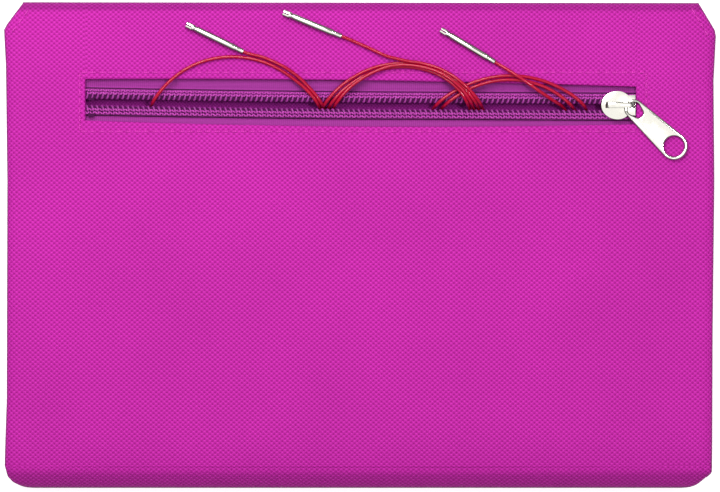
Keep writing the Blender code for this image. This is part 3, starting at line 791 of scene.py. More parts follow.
def back_skin():
    columns, rows = panel_columns(True), panel_rows(True)
    top = np.zeros((len(rows), len(columns), 3))
    bottom = np.zeros_like(top)
    for j, row in enumerate(rows):
        for i, column in enumerate(columns):
            x, y = warped(column, row, True)
            height = face_height(x, y)
            if row < FOLD_Y - 1e-6:
                height -= CLOTH
            rim = in_rim(column, row) or in_edge(row)
            under = BACK_RIM + rolled(rim_distance(x, y), 0.0012, 0.0010) if rim else PANEL_UNDER
            top[j, i] = (x, y, height)
            bottom[j, i] = (x, y, min(under, height - 0.0004))
    hole = (
        (index_of(rows, WINDOW_ROWS[0]), index_of(rows, WINDOW_ROWS[1])),
        (index_of(columns, WINDOW_X[0]), index_of(columns, WINDOW_X[1])),
    )
    rings = ((0.12, 0.00012), (0.3, 0.00022), (0.5, 0.00026), (0.7, 0.0002), (0.88, 0.0001))
    weave = arc_weave(top)
    # The third weave coordinate carries the painted shade of the edges.
    for j, i in np.ndindex(top.shape[:2]):
        x, y = top[j, i, :2]
        weave[j, i, 2] = painted_edge_shade(x, y)
    piece = closed_cloth("back_skin", top, bottom, weave, rings, hole, 1, (0,))
    return finished(piece, (SHELL, LINING), "back_half", ("back_cover",))


def front_skin():
    columns, rows = panel_columns(False), panel_rows(False)
    top = np.zeros((len(rows), len(columns), 3))
    bottom = np.zeros_like(top)
    for j, row in enumerate(rows):
        for i, column in enumerate(columns):
            x, y = warped(column, row, False)
            away = rim_distance(x, y)
            if in_rim(column, row):
                inner = abs(column) - (PAD_X if row > PAD_Y else HALF_X - RIM_WALL)
                height = FRONT_RIM - rolled(away, 0.0013, 0.0011) - rolled(inner, 0.0006, 0.0005)
            elif in_edge(row):
                height = EDGE_TOP - rolled(away, 0.0013, 0.0011)
            else:
                height = COVER_SKIN
            under = rolled(away, 0.0022, 0.0018)
            if row < FOLD_Y - 1e-6:
                under = max(under, CLOTH + 0.0002)
            top[j, i] = (x, y, height)
            bottom[j, i] = (x, y, under)
    rings = ((0.12, 0.00015), (0.3, 0.0003), (0.5, 0.00035), (0.7, 0.0003), (0.88, 0.00015))
    piece = closed_cloth("front_skin", top, bottom, arc_weave(top), rings, None, 0, (0,))
    return finished(piece, (SHELL,), "front_half", ("front_cover",))


def cover_profile():
    """The cloth's outer line round the spine edge, from the zip face to the floor, as (y, z)."""
    line = []
    start = FOLD_Y + 0.0004
    for step in range(49):
        y = start + (BOTTOM - start) * math.sin(0.5 * math.pi * step / 48)
        line.append((y, FACE + 0.00004 - spine_drop(y)))
    line += [(BOTTOM, z) for z in filled((SPINE_Z[0], SPINE_Z[1], line[-1][1]), 0.0015)[::-1][1:]]
    line += [(BOTTOM, z) for z in filled((LOWER_FOLD_R, SPINE_Z[0]), 0.0012)[::-1][1:]]
    for step in range(1, 9):
        angle = math.pi + 0.5 * math.pi * step / 8
        centre = (BOTTOM + LOWER_FOLD_R, LOWER_FOLD_R)
        line.append((centre[0] + LOWER_FOLD_R * math.cos(angle), centre[1] + LOWER_FOLD_R * math.sin(angle)))
    line += [(y, 0.0) for y in filled((BOTTOM + LOWER_FOLD_R, FOLD_Y), 0.0012)[1:]]
    return line


def cover_strip(name, line, walked, body):
    """One stretch of the cloth round the spine, with an outer and an inner face."""
    across = filled((-1.0, -0.998, -0.994, -0.987, -0.976, -0.96,
                     0.96, 0.976, 0.987, 0.994, 0.998, 1.0), 0.06)
    total = len(line)
    outer = np.zeros((total, len(across), 3))
    inner = np.zeros_like(outer)
    weave = np.zeros_like(outer)
    for j, (y, z) in enumerate(line):
        ahead, behind = line[min(j + 1, total - 1)], line[max(j - 1, 0)]
        tangent = Vector((0.0, ahead[0] - behind[0], ahead[1] - behind[1])).normalized()
        inward = Vector((1.0, 0.0, 0.0)).cross(tangent)
        for i, share in enumerate(across):
            side = LEFT_EDGE if share < 0.0 else RIGHT_EDGE
            x = share * edge_width(side, y)
            edge = rolled((1.0 - abs(share)) * 0.12, 0.0050, 0.0013)
            shift = inward * edge if z > 0.0001 else Vector((0.0, 0.0, edge))
            outer[j, i] = Vector((x, y, z)) + shift
            inner[j, i] = Vector((x, y, z)) + shift + inward * CLOTH
            # The third weave coordinate carries the painted shade of the spine fold.
            weave[j, i] = (x, FOLD_WEAVE - walked[j], painted_edge_shade(x, y) if z > SPINE_Z[1] else 0.0)
    piece = closed_cloth(name, outer[::-1], inner[::-1], weave[::-1], (), None, 1)
    return finished(piece, (SHELL, LINING), body)


LINE = cover_profile()
WALKED = [0.0]
for one, two in zip(LINE, LINE[1:]):
    WALKED.append(WALKED[-1] + math.hypot(two[0] - one[0], two[1] - one[1]))
FOLD_WEAVE = FOLD_Y - sum(
    math.hypot(0.0005, spine_drop(ROLL_Y - 0.0005 * (k + 1)) - spine_drop(ROLL_Y - 0.0005 * k)) - 0.0005
    for k in range(int((ROLL_Y - FOLD_Y) / 0.0005))
)


def spine_covers():
    """The cloth round the spine: two folds that bend with the hinges, and the strip between them."""
    upper_end = next(k for k, (_, z) in enumerate(LINE) if z <= SPINE_Z[1] + 1e-6)
    lower_start = next(k for k, (_, z) in enumerate(LINE) if z <= SPINE_Z[0] + 1e-6)
    between = slice(upper_end, lower_start + 1)
    upper = cover_strip("upper_fold", LINE[: upper_end + 1], WALKED[: upper_end + 1], None)
    middle = cover_strip("spine_skin", LINE[between], WALKED[between], "spine")
    lower = cover_strip("lower_fold", LINE[lower_start:], WALKED[lower_start:], None)
    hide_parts("spine_cover")
    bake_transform(upper, "spine", "back_half", start=(0.0, BOTTOM, SPINE_Z[1]),
             end=(0.0, FOLD_Y, FACE - spine_drop(FOLD_Y)))
    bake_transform(lower, "front_half", "spine", start=(0.0, FOLD_Y, 0.0), end=(0.0, BOTTOM, SPINE_Z[0]))


# ---------------------------------------------------------------- linings, strips and tabs


def lining_grid(low, high):
    """A flat cloth that fills the inside of a panel, soft at its edges and with slow waves."""
    half = HALF_X - RIM_WALL - GAP
    pad = PAD_X - GAP
    columns = filled([-half, -half + 0.0006, -pad, -pad + 0.0006,
                      pad - 0.0006, pad, half - 0.0006, half], 0.004)
    start = RIM_END + EDGE_WALL + GAP
    rows = filled([start, start + 0.0006, PAD_Y - GAP - 0.0006, PAD_Y - GAP, TOP - EDGE_WALL - GAP], 0.004)
    top = np.zeros((len(rows), len(columns), 3))
    bottom = np.zeros_like(top)
    for j, row in enumerate(rows):
        for i, column in enumerate(columns):
            x = column
            if row > PAD_Y:
                x = max(-pad, min(pad, column * pad / half))
            edge = min(half - abs(column), row - start, TOP - EDGE_WALL - GAP - row)
            soft = rolled(edge, 0.0008, 0.0002)
            wave = 0.00006 * noise.noise(Vector((x * 40.0, row * 40.0, low * 900.0)))
            top[j, i] = (x, row, high - soft + wave)
            bottom[j, i] = (x, row, low + soft + wave)
    return top, bottom


def linings():
    for name, node, body in (("front_lining_cloth", "front_lining", "front_half"),
                             ("back_lining_cloth", "back_lining", "back_half")):
        low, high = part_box(node)[0].z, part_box(node)[1].z
        top, bottom = lining_grid(low, high)
        piece = closed_cloth(name, top, bottom, arc_weave(top))
        finished(piece, (LINING,), body, (node,))


def tip_facts():
    """Each tip's body name, centre x, radius and height of its axis, from its CAD node."""
    for name in frame["bodies"]:
        if name.startswith("tip_"):
            low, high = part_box(name)
            yield name, 0.5 * (low.x + high.x), 0.5 * (high.z - low.z), 0.5 * (low.z + high.z)


TIPS = sorted(tip_facts(), key=lambda fact: fact[1])
STRIP_BASE = EDGE_TOP + 0.0003
STRIP_THICK = 0.0006
CHANNEL_PLAY = 0.0004
ARCH_STEPS = 12


def strip_section(extra):
    """One face of a strip across the case, as (x, z, lift): flat at the seams, arched over each tip."""
    line = []
    for _, centre, radius, height in TIPS:
        inner = radius + CHANNEL_PLAY + extra
        base = STRIP_BASE + extra
        line.append((centre - inner, base, 0.0))
        for step in range(ARCH_STEPS + 1):
            angle = math.pi * (1.0 - step / ARCH_STEPS)
            line.append((centre + inner * math.cos(angle), height + inner * math.sin(angle), math.sin(angle)))
        line.append((centre + inner, base, 0.0))
    edge = 0.0016
    start, end = line[0], line[-1]
    line = [(start[0] - edge, start[1], 0.0), *line, (end[0] + edge, end[1], 0.0)]
    result = [line[0]]
    for one, two in zip(line, line[1:]):
        gap = math.hypot(two[0] - one[0], two[1] - one[1])
        count = max(1, math.ceil(gap / 0.0016))
        for k in range(1, count + 1):
            share = k / count
            result.append(tuple(a + (b - a) * share for a, b in zip(one, two)))
    return result


def strip_cloth(name, node, material, hem, ruffle):
    """A cloth strip over the tips. Its open edge has a folded hem, and its arches sag a little."""
    low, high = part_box(node)
    under, over = strip_section(0.0), strip_section(STRIP_THICK)
    count = min(len(under), len(over))
    under = resampled_section(under, count)
    over = resampled_section(over, count)
    marks = [low.y, low.y + 0.0005, high.y - hem, high.y - hem + 0.0004, high.y - 0.0005, high.y]
    rows = filled(marks, 0.0035)
    top = np.zeros((len(rows), count, 3))
    bottom = np.zeros_like(top)
    for j, y in enumerate(rows):
        folded = 0.00025 if y > high.y - hem + 0.0002 else 0.0
        for i in range(count):
            x0, z0, _ = under[i]
            x1, z1, lift = over[i]
            sag = ruffle * lift * noise.noise(Vector((x1 * 160.0, y * 90.0, 1.7)))
            bottom[j, i] = (x0, y, z0 + sag * 0.5)
            top[j, i] = (x1, y, z1 + sag + folded)
    weave = arc_weave(top)
    piece = closed_cloth(name, top, bottom, weave)
    finished(piece, (material,), frame_body(node), (node,), 60.0)


def resampled_section(line, count):
    line = np.array(line)
    walked = np.concatenate([[0.0], np.cumsum(np.hypot(*np.diff(line[:, :2], axis=0).T))])
    at = np.linspace(0.0, walked[-1], count)
    return [tuple(np.interp(a, walked, line[:, k]) for k in range(3)) for a in at]


def frame_body(node):
    return body_of(frame["nodes"][node])[0]


def seam_stitches(name, node, inset, body):
    """Lines of stitches that hold a strip down: between its channels and beside the outermost ones."""
    low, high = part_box(node)
    pairs = []
    height = STRIP_BASE + STRIP_THICK
    centres = [fact[1] for fact in TIPS]
    pitch = centres[1] - centres[0]
    lines = []
    for k in range(len(centres) + 1):
        if k == 0:
            lines.append(centres[0] - 0.5 * pitch + 0.0022)
        elif k == len(centres):
            lines.append(centres[-1] + 0.5 * pitch - 0.0006)
        else:
            left = centres[k - 1] + TIPS[k - 1][2]
            right = centres[k] - TIPS[k][2]
            lines.append(0.5 * (left + right))
    for x in lines:
        y = low.y + inset
        while y < high.y - 0.0012:
            pairs.append(((x, y, height), (x, y + 0.0021, height)))
            y += 0.0028
    piece = beads(name, pairs, 0.00022)
    return finished(piece, (LINING_THREAD,), body)


def corner_tab(node, side, material):
    """A tab of hook or loop tape: a plain woven border and a raised field of pile."""
    low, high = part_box(node)
    up = node.startswith("hook")
    sign = 1.0 if side == "right" else -1.0
    rows = filled([0.0590, 0.0593, 0.0600, 0.0603, 0.0817, 0.0820, 0.0826], 0.0007)
    shares = filled([0.0, 0.02, 0.07, 0.09, 0.91, 0.93, 0.98, 1.0], 0.035)
    heights, widths = (0.0590, 0.0740, 0.0826), (0.1222, 0.1230, 0.1166)
    top = np.zeros((len(rows), len(shares), 3))
    bottom = np.zeros_like(top)
    for j, y in enumerate(rows):
        outer = float(np.interp(y, heights, widths))
        for i, share in enumerate(shares):
            x = 0.1086 + (outer - 0.1086) * (share if sign > 0.0 else 1.0 - share)
            border = share < 0.08 or share > 0.92 or y < 0.0601 or y > 0.0818
            wave = noise.noise(Vector((x * 2100.0, y * 2100.0, high.z * 900.0)))
            fluff = 0.0 if border else 0.00012 + 0.0001 * wave
            edge = min(share, 1.0 - share) * 0.0136
            soft = rolled(min(edge, y - 0.0590, 0.0826 - y), 0.0005, 0.0001)
            rise = fluff - 0.00022 - soft
            if up:
                top[j, i] = (sign * x, y, high.z + rise)
                bottom[j, i] = (sign * x, y, low.z)
            else:
                top[j, i] = (sign * x, y, high.z)
                bottom[j, i] = (sign * x, y, low.z - rise)
    piece = closed_cloth(f"{node}_pile", top, bottom, arc_weave(top))
    return finished(piece, (material,), frame_body(node), (node,), 80.0)


def tabs():
    for side in ("left", "right"):
        corner_tab(f"hook_tab_{side}", side, HOOKS)
        corner_tab(f"loop_tab_{side}", side, LOOPS)


def stiffener():
    """The spine's board, wrapped in lining cloth."""
    columns = filled([-0.1175, -0.1170, 0.1170, 0.1175], 0.006)
    rows = filled([0.0032, 0.0036, 0.0136, 0.0140], 0.002)
    outer = np.zeros((len(rows), len(columns), 3))
    inner = np.zeros_like(outer)
    weave = np.zeros_like(outer)
    for j, z in enumerate(rows):
        for i, x in enumerate(columns):
            edge = min(0.1175 - abs(x), z - rows[0], rows[-1] - z)
            soft = rolled(edge, 0.0006, 0.0004)
            outer[j, i] = (x, BOTTOM + CLOTH + 0.0002 + soft, z)
            inner[j, i] = (x, BOTTOM + CLOTH + 0.0014 - soft, z)
            weave[j, i] = (x, z, 0.0)
    piece = closed_cloth("spine_stiffener", outer, inner, weave)
    return finished(piece, (LINING,), "spine", ("spine_board",))


# ---------------------------------------------------------------- needle tips


def tip_profile(radius, back, front):
    ferrule = min(0.0026, radius)
    socket = 0.00135
    point = 0.0140
    profile = [
        (0.0, back + 0.0070),
        (socket * 0.96, back + 0.0070),
        (socket, back + 0.0066),
        (socket, back + 0.0003),
        (socket + 0.00012, back),
        (ferrule - 0.00018, back),
        (ferrule - 0.00004, back + 0.00010),
        (ferrule, back + 0.0003),
    ]
    for groove in (0.0022, 0.0030, 0.0038):
        profile += [
            (ferrule, back + groove),
            (ferrule - 0.00012, back + groove + 0.00012),
            (ferrule - 0.00012, back + groove + 0.00026),
            (ferrule, back + groove + 0.00038),
        ]
    profile.append((ferrule, back + 0.0090))
    if radius > ferrule:
        for step in range(1, 7):
            share = step / 6
            width = ferrule + (radius - ferrule) * float(smoothstep(share))
            profile.append((width, back + 0.0090 + 0.0022 * share))
    profile.append((radius, front - point))
    for step in range(1, 13):
        share = step / 12
        width = radius * (1.0 - share**1.35 * 0.84)
        profile.append((width, front - point + (point - 0.0007) * share))
    for step in range(1, 4):
        angle = 0.5 * math.pi * step / 3
        width = 0.16 * radius * math.cos(angle) if step < 3 else 0.0
        profile.append((width, front - 0.0007 + 0.0007 * math.sin(angle)))
    return profile


def needle_tips():
    for name, centre, radius, height in TIPS:
        low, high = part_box(name)
        profile = tip_profile(radius, low.y, high.y)
        piece = turned(f"{name}_turned", profile, 32, Matrix.Translation((centre, 0.0, height)))
        finished(piece, (STEEL,), name, (name,), 40.0)


# ---------------------------------------------------------------- zip


def zip_tape(name, node, inner, outer):
    """A woven tape with a sunk line beside its coil."""
    low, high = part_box(node)
    sign = 1.0 if outer > inner else -1.0
    groove = 0.0042 if sign > 0.0 else 0.0038
    steps = filled([0.0, 0.0004, 0.0010, groove - 0.0006, groove - 0.0003, groove, groove + 0.0003,
                    groove + 0.0006, abs(outer - inner)], 0.0010)
    rows = [inner + sign * step for step in steps][:: int(sign)]
    columns = filled([low.x, high.x], 0.0035)
    top = np.zeros((len(rows), len(columns), 3))
    bottom = np.zeros_like(top)
    for j, y in enumerate(rows):
        away = abs(y - inner)
        dip = 0.00028 * math.exp(-(((away - groove) / 0.0004) ** 2))
        for i, x in enumerate(columns):
            wave = 0.00012 * noise.noise(Vector((x * 70.0, y * 90.0, 2.2)))
            top[j, i] = (x, y, TAPE_Z[1] - dip + wave)
            bottom[j, i] = (x, y, TAPE_Z[0] + wave)
    piece = closed_cloth(name, top, bottom, arc_weave(top))
    sway(piece)
    finished(piece, (TAPE,), "back_half", (node,))


def sway_at(x):
    """The soft zip does not run dead straight: how far it strays across at a place along it."""
    share = x / 0.0960
    return -0.00085 * share + 0.00055 * share**2 if share < 0.0 else -0.0005 * share


def sway(piece):
    for vertex in piece.data.vertices:
        vertex.co.y += sway_at(vertex.co.x)


def coil_row(name, node, edges):
    """A nylon coil: one long flattened helix, its heads at the first edge, towards the slit."""
    head, heel = edges
    middle, half = 0.5 * (head + heel), 0.5 * (head - heel)
    wire = 0.00040
    centre_z, half_z = 0.5 * (COIL_Z[0] + COIL_Z[1]), 0.5 * (COIL_Z[1] - COIL_Z[0]) - wire
    turns = int((COIL_X[1] - COIL_X[0]) / COIL_PITCH)
    line = []
    per_turn = 16
    for step in range(turns * per_turn + 1):
        angle = 2.0 * math.pi * step / per_turn
        flat = math.copysign(abs(math.cos(angle)) ** 0.7, math.cos(angle))
        tall = math.copysign(abs(math.sin(angle)) ** 0.8, math.sin(angle))
        x = COIL_X[0] + COIL_PITCH * (step / per_turn)
        line.append((x, middle + (half - math.copysign(wire, half)) * flat, centre_z + half_z * tall))
    piece = tube_mesh(name, line, wire, 6)
    sway(piece)
    finished(piece, (COIL,), "back_half", (node,), 80.0)
    # The filler cord inside the coil is real, but its near-black colour and wide spread paint the shade seen
    # between the turns.
    core_y = middle - 0.1 * half
    core = [(x, core_y, centre_z - 0.0001) for x in filled([COIL_X[0], COIL_X[1] + 0.004], 0.004)]
    filler = tube_mesh(f"{name}_filler", core, 0.00042, 10)
    for vertex in filler.data.vertices:
        vertex.co.y += (vertex.co.y - core_y) * 1.9
    sway(filler)
    finished(filler, (PAINTED_SHADE_DARK,), "back_half")


def chain_thread(name, y_head, y_heel, height, lean):
    """A row of chain stitches that holds a coil to its tape: two slanted threads in each pitch."""
    pairs = []
    x = COIL_X[0] + 0.0002
    while x < COIL_X[1] + 0.006:
        pairs.append(((x, y_heel, height - 0.00012), (x + lean, y_head, height)))
        between = x + COIL_PITCH * 0.5
        pairs.append(((between, y_head, height), (between + lean, y_heel, height - 0.00012)))
        x += COIL_PITCH
    piece = beads(name, pairs, 0.00034)
    sway(piece)
    finished(piece, (ZIP_THREAD,), "back_half")


def groove_shadow_line(name, y):
    """A dark tube that paints the shadow in the sunk line where a tape turns up under its coil."""
    line = [(x, y, TAPE_Z[1]) for x in filled([COIL_X[0] - 0.0015, COIL_X[1] + 0.0060], 0.004)]
    piece = tube_mesh(name, line, 0.00020, 8)
    sway(piece)
    finished(piece, (PAINTED_SHADE_DARK,), "back_half")


def zip_stops():
    dressed("zip_top_stop_upper", PAINTED_SHADE_DARK)
    dressed("zip_top_stop_lower", PAINTED_SHADE_DARK)
    dressed("zip_bottom_stop", NICKEL)


def zip_parts():
    zip_tape("upper_tape_cloth", "zip_tape_upper", UPPER_COIL[0] + 0.0006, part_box("zip_tape_upper")[1].y)
    zip_tape("lower_tape_cloth", "zip_tape_lower", LOWER_COIL[0] - 0.0006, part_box("zip_tape_lower")[0].y)
    coil_row("upper_coil", "zip_coil_upper", UPPER_COIL)
    coil_row("lower_coil", "zip_coil_lower", LOWER_COIL)
    chain_thread("upper_chain", 0.0517, 0.0526, COIL_Z[1], 0.0008)
    chain_thread("upper_outer_chain", 0.0528, 0.0535, COIL_Z[1] - 0.0005, -0.0008)
    chain_thread("lower_chain", 0.0468, 0.0460, COIL_Z[1], 0.0008)
    chain_thread("lower_outer_chain", 0.0457, 0.0448, COIL_Z[1] - 0.0004, -0.0008)
    # Painted shadow lines in the tapes' grooves beside the coils.
    groove_shadow_line("upper_tape_groove_shadow", 0.0540)
    groove_shadow_line("lower_tape_groove_shadow", 0.0444)
    zip_stops()


# ---------------------------------------------------------------- slider and pull


def slider_outline(margin, steps=48):
    """A round nose to the left that narrows to a straight tail."""
    low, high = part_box("slider_body")
    centre_y = 0.5 * (low.y + high.y)
    radius = 0.5 * (high.y - low.y)
    centre_x = low.x + radius
    tail_x, tail_half = high.x - margin, 0.0036 - margin
    radius -= margin
    points = [(tail_x, centre_y - tail_half), (tail_x, centre_y + tail_half)]
    first = math.radians(44.0)
    for index in range(steps + 1):
        angle = first + (2.0 * math.pi - 2.0 * first) * index / steps
        reach = radius * math.cos(angle)
        reach *= 1.12 if reach < 0.0 else 1.0
        points.append((centre_x + reach, centre_y + 0.97 * radius * math.sin(angle)))
    return points


def slider_body():
    low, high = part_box("slider_body")
    middle = 0.5 * (low.y + high.y)
    plate_z = 0.0234
    body = prism_object("slider_shell", slider_outline(0.0), 0.0220, high.z)
    inside = rectangle(low.x - 0.02, high.x + 0.02, middle - 0.0043, middle + 0.0043)
    channel = prism_object("cut_channel", inside, 0.0150, plate_z)
    base = prism_object("join_base", slider_outline(0.0004), low.z, low.z + 0.0007)
    wedge = rectangle(low.x + 0.0008, low.x + 0.0080, middle - 0.0011, middle + 0.0011)
    neck = prism_object("join_neck", wedge, low.z + 0.0005, plate_z + 0.0003)
    combined(body, ((channel, "DIFFERENCE"), (neck, "UNION"), (base, "UNION")), 0.00034)
    finished(body, (NICKEL,), "slider", ("slider_body",), 30.0)


def slider_bridge():
    """The arch that carries the pull: a bent strap, wider than it is thick."""
    low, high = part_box("slider_bridge")
    middle = 0.5 * (low.y + high.y)
    half = 0.00105
    thick = 0.0006
    line = []
    foot = low.z - 0.0003
    rise = high.z - foot - thick * 0.5
    reach = 0.5 * (high.x - low.x) - thick * 0.5
    centre = 0.5 * (low.x + high.x)
    for step in range(33):
        angle = math.pi * (1.0 - step / 32)
        flat = math.copysign(abs(math.cos(angle)) ** 0.45, math.cos(angle))
        tall = math.sin(angle) ** 0.45 if step not in (0, 32) else 0.0
        line.append(Vector((centre + reach * flat, 0.0, foot + rise * tall)))
    points, faces = [], []
    section = ((-1.0, -0.6), (-0.8, -1.0), (0.8, -1.0), (1.0, -0.6),
               (1.0, 0.6), (0.8, 1.0), (-0.8, 1.0), (-1.0, 0.6))
    for k, point in enumerate(line):
        ahead = (line[min(k + 1, 32)] - line[max(k - 1, 0)]).normalized()
        normal = Vector((-ahead.z, 0.0, ahead.x))
        for across, up in section:
            points.append(point + Vector((0.0, middle + across * half, 0.0)) + normal * (up * thick * 0.5))
    count = len(section)
    for k in range(32):
        for s in range(count):
            other = (s + 1) % count
            faces.append((k * count + s, k * count + other, (k + 1) * count + other, (k + 1) * count + s))
    faces.append(tuple(range(count))[::-1])
    faces.append(tuple(range(32 * count, 33 * count)))
    piece = mesh_object("slider_loop", points, faces)
    bm = bmesh.new()
    bm.from_mesh(piece.data)
    bmesh.ops.recalc_face_normals(bm, faces=bm.faces[:])
    bm.to_mesh(piece.data)
    bm.free()
    finished(piece, (NICKEL,), "slider", ("slider_bridge",), 35.0)


PULL_ANGLE = math.radians(-43.0)
PULL_HOLE_U = 0.0217
PULL_END_R = 0.0048


def pull_outline():
    """A rounded bar end, straight tapering sides and a round finger end, as (u, v) along the tab."""
    points = []
    for step in range(13):
        angle = math.radians(90.0 + 180.0 * step / 12)
        points.append((0.0026 + 0.0034 * math.cos(angle), 0.0034 * math.sin(angle)))
    for step in range(25):
        angle = math.radians(-98.0 + 196.0 * step / 24)
        points.append((PULL_HOLE_U + PULL_END_R * math.cos(angle), PULL_END_R * math.sin(angle)))
    return points


def pull_tab():
    pivot = Vector((0.0941, 0.0496, 0.02525))
    half = 0.00055
    turn = Matrix.Translation(pivot) @ Matrix.Rotation(PULL_ANGLE, 4, "Z")
    tab = prism_object("pull_plate", pull_outline(), -half, half)
    hole = [(PULL_HOLE_U + 0.0036 * math.cos(a), 0.0036 * math.sin(a))
            for a in np.linspace(0.0, 2.0 * math.pi, 40, endpoint=False)]
    slot = []
    for step in range(13):
        angle = math.radians(80.0 + 200.0 * step / 12)
        slot.append((0.0024 + 0.0020 * math.cos(angle), 0.0024 * math.sin(angle)))
    for step in range(11):
        angle = math.radians(-70.0 + 140.0 * step / 10)
        slot.append((0.0046 + 0.0017 * math.cos(angle), 0.0017 * math.sin(angle)))
    cutters = (
        (prism_object("cut_hole", hole, -0.002, 0.002), "DIFFERENCE"),
        (prism_object("cut_slot", slot, -0.002, 0.002), "DIFFERENCE"),
    )
    combined(tab, cutters, 0.00048, 4)
    tab.data.transform(turn)
    finished(tab, (NICKEL,), "pull", ("pull_tab",), 30.0)
    line = [turn @ Vector((u, v, half)) for u, v in ((0.0070, 0.00305), (0.0135, 0.00348), (0.0200, 0.00390))]
    finished(tube_mesh("pull_rim_line", line, 0.00014, 10), (NICKEL,), "pull")


# ---------------------------------------------------------------- cords

# Each cord: ring centre and radius, the free tail from the connector, then the coil as stops of
# (degrees walked anticlockwise from +X, lane outwards in millimetres, layers up)
CORDS = (
    {
        "name": "left_cord",
        "centre": (-0.0445, 0.0323),
        "radius": 0.0336,
        "length": 0.35,
        "rise": 0.0,
        "tail": (
            (-0.0404, 0.0677, 0.02545),
            (-0.0378, 0.0669, 0.02535),
            (-0.0340, 0.0660, 0.02520),
            (-0.0300, 0.0643, 0.02520),
            (-0.0265, 0.0626, 0.02520),
            (-0.0233, 0.0604, 0.02520),
            (-0.0205, 0.0581, 0.02520),
        ),
        "stops": (
            (40.0, 1.7, 0.0), (30.0, 2.0, 0.0), (0.0, 1.8, 0.0), (-90.0, 1.0, 0.0),
            (-180.0, 0.2, 0.0), (-210.0, -0.2, 0.0), (-250.0, 0.3, 0.0), (-283.0, 0.2, 0.0),
            (-306.0, 0.0, 0.0), (-330.0, 0.8, 0.0), (-365.0, 0.4, 0.0), (-400.0, 1.0, 1.0),
            (-430.0, 4.4, 1.0), (-450.0, 9.0, 0.4), (-464.6, 12.2, 0.0),
        ),
    },
    {
        "name": "middle_cord",
        "centre": (0.0150, 0.0318),
        "radius": 0.0322,
        "length": 0.75,
        "rise": 0.0013,
        "tail": (
            (-0.0059, 0.0731, 0.02550),
            (-0.0025, 0.0717, 0.02550),
            (0.0011, 0.0701, 0.02560),
            (0.0046, 0.0685, 0.02580),
            (0.0080, 0.0669, 0.02600),
            (0.0100, 0.0661, 0.02605),
        ),
        "stops": (
            (86.0, 0.5, 0.9), (68.0, 0.5, 0.9), (50.0, 0.3, 1.8), (33.0, 0.3, 0.6), (10.0, 0.2, 0.0),
            (-90.0, 0.6, 0.0), (-190.0, 0.6, 0.0), (-213.0, 0.4, 0.0), (-240.0, 0.0, 0.0),
            (-270.0, -0.1, 0.0), (-290.0, -0.2, 0.3), (-310.0, -0.5, 1.0), (-327.0, -0.9, 0.6),
            (-350.0, -1.0, 0.0), (-450.0, -0.9, 0.0), (-550.0, -1.0, 0.0), (-573.0, -1.3, 0.0),
            (-600.0, -1.4, 0.0), (-630.0, -1.35, 0.0), (-650.0, -1.45, 0.3), (-670.0, -2.2, 1.0),
            (-687.0, -3.6, 0.6), (-710.0, -3.4, 0.0), (-810.0, -2.8, 0.0), (-910.0, -2.4, 0.0),
            (-933.0, -2.7, 0.0), (-960.0, -2.0, 0.6), (-990.0, -0.75, 0.9), (-1010.0, -0.75, 1.3),
            (-1030.0, -1.3, 1.9), (-1047.0, -2.3, 0.6), (-1070.0, -2.1, 0.0), (-1110.0, -1.8, 1.0),
            (-1140.0, 2.5, 1.0), (-1160.0, 9.0, 0.6), (-1180.9, 15.5, 0.0),
        ),
    },
    {
        "name": "right_cord",
        "centre": (0.0526, 0.0251),
        "radius": 0.0350,
        "length": 0.55,
        "rise": 0.0,
        "tail": (
            (0.0477, 0.0640, 0.02550),
            (0.0505, 0.0623, 0.02610),
            (0.0533, 0.0605, 0.02680),
            (0.0562, 0.0586, 0.02710),
            (0.0593, 0.0565, 0.02690),
            (0.0624, 0.0543, 0.02640),
            (0.0656, 0.0522, 0.02560),
            (0.0680, 0.0507, 0.02440),
            (0.0696, 0.0498, 0.02310),
            (0.0706, 0.0492, 0.02190),
            (0.0714, 0.0485, 0.02060),
            (0.0723, 0.0474, 0.01930),
            (0.0732, 0.0460, 0.01830),
            (0.0740, 0.0442, 0.01785),
        ),
        "stops": (
            (35.0, -7.6, 0.0), (10.0, -5.4, 0.0), (-40.0, -3.0, 0.0), (-90.0, -2.0, 0.0),
            (-190.0, -1.6, 0.0), (-223.0, -1.75, 0.0), (-245.0, -2.0, 0.0), (-270.0, -2.0, 0.0),
            (-295.0, -2.3, 0.0), (-319.0, -2.9, 0.0), (-345.0, -2.4, 0.0), (-370.0, -1.5, 0.0),
            (-450.0, 0.0, 0.0), (-550.0, 0.6, 0.0), (-583.0, 0.4, 0.0), (-605.0, -0.4, 0.0),
            (-630.0, -0.6, 0.0), (-655.0, -0.3, 0.0), (-676.0, 0.3, 0.0), (-705.0, 0.2, 0.0),
            (-740.0, 0.3, 0.0), (-775.0, 3.0, 0.0), (-800.0, 7.0, 0.0), (-821.0, 9.9, 0.0),
        ),
    },
)


def climb_height(y, low, high, slit):
    """Height of a cord that runs level in the pocket, climbs through the slit and runs level on top."""
    rise = BEND_R * (1.0 - math.cos(CLIMB))
    run = BEND_R * math.sin(CLIMB)
    slope = math.tan(CLIMB)
    start = slit + (low + rise - SLIT_Z) / slope - run
    finish = slit + (high - rise - SLIT_Z) / slope + run
    if y <= start:
        return low
    if y >= finish:
        return high
    if y < start + run:
        return low + BEND_R - math.sqrt(BEND_R**2 - (y - start) ** 2)
    if y > finish - run:
        return high - BEND_R + math.sqrt(BEND_R**2 - (finish - y) ** 2)
    return SLIT_Z + (y - slit) * slope


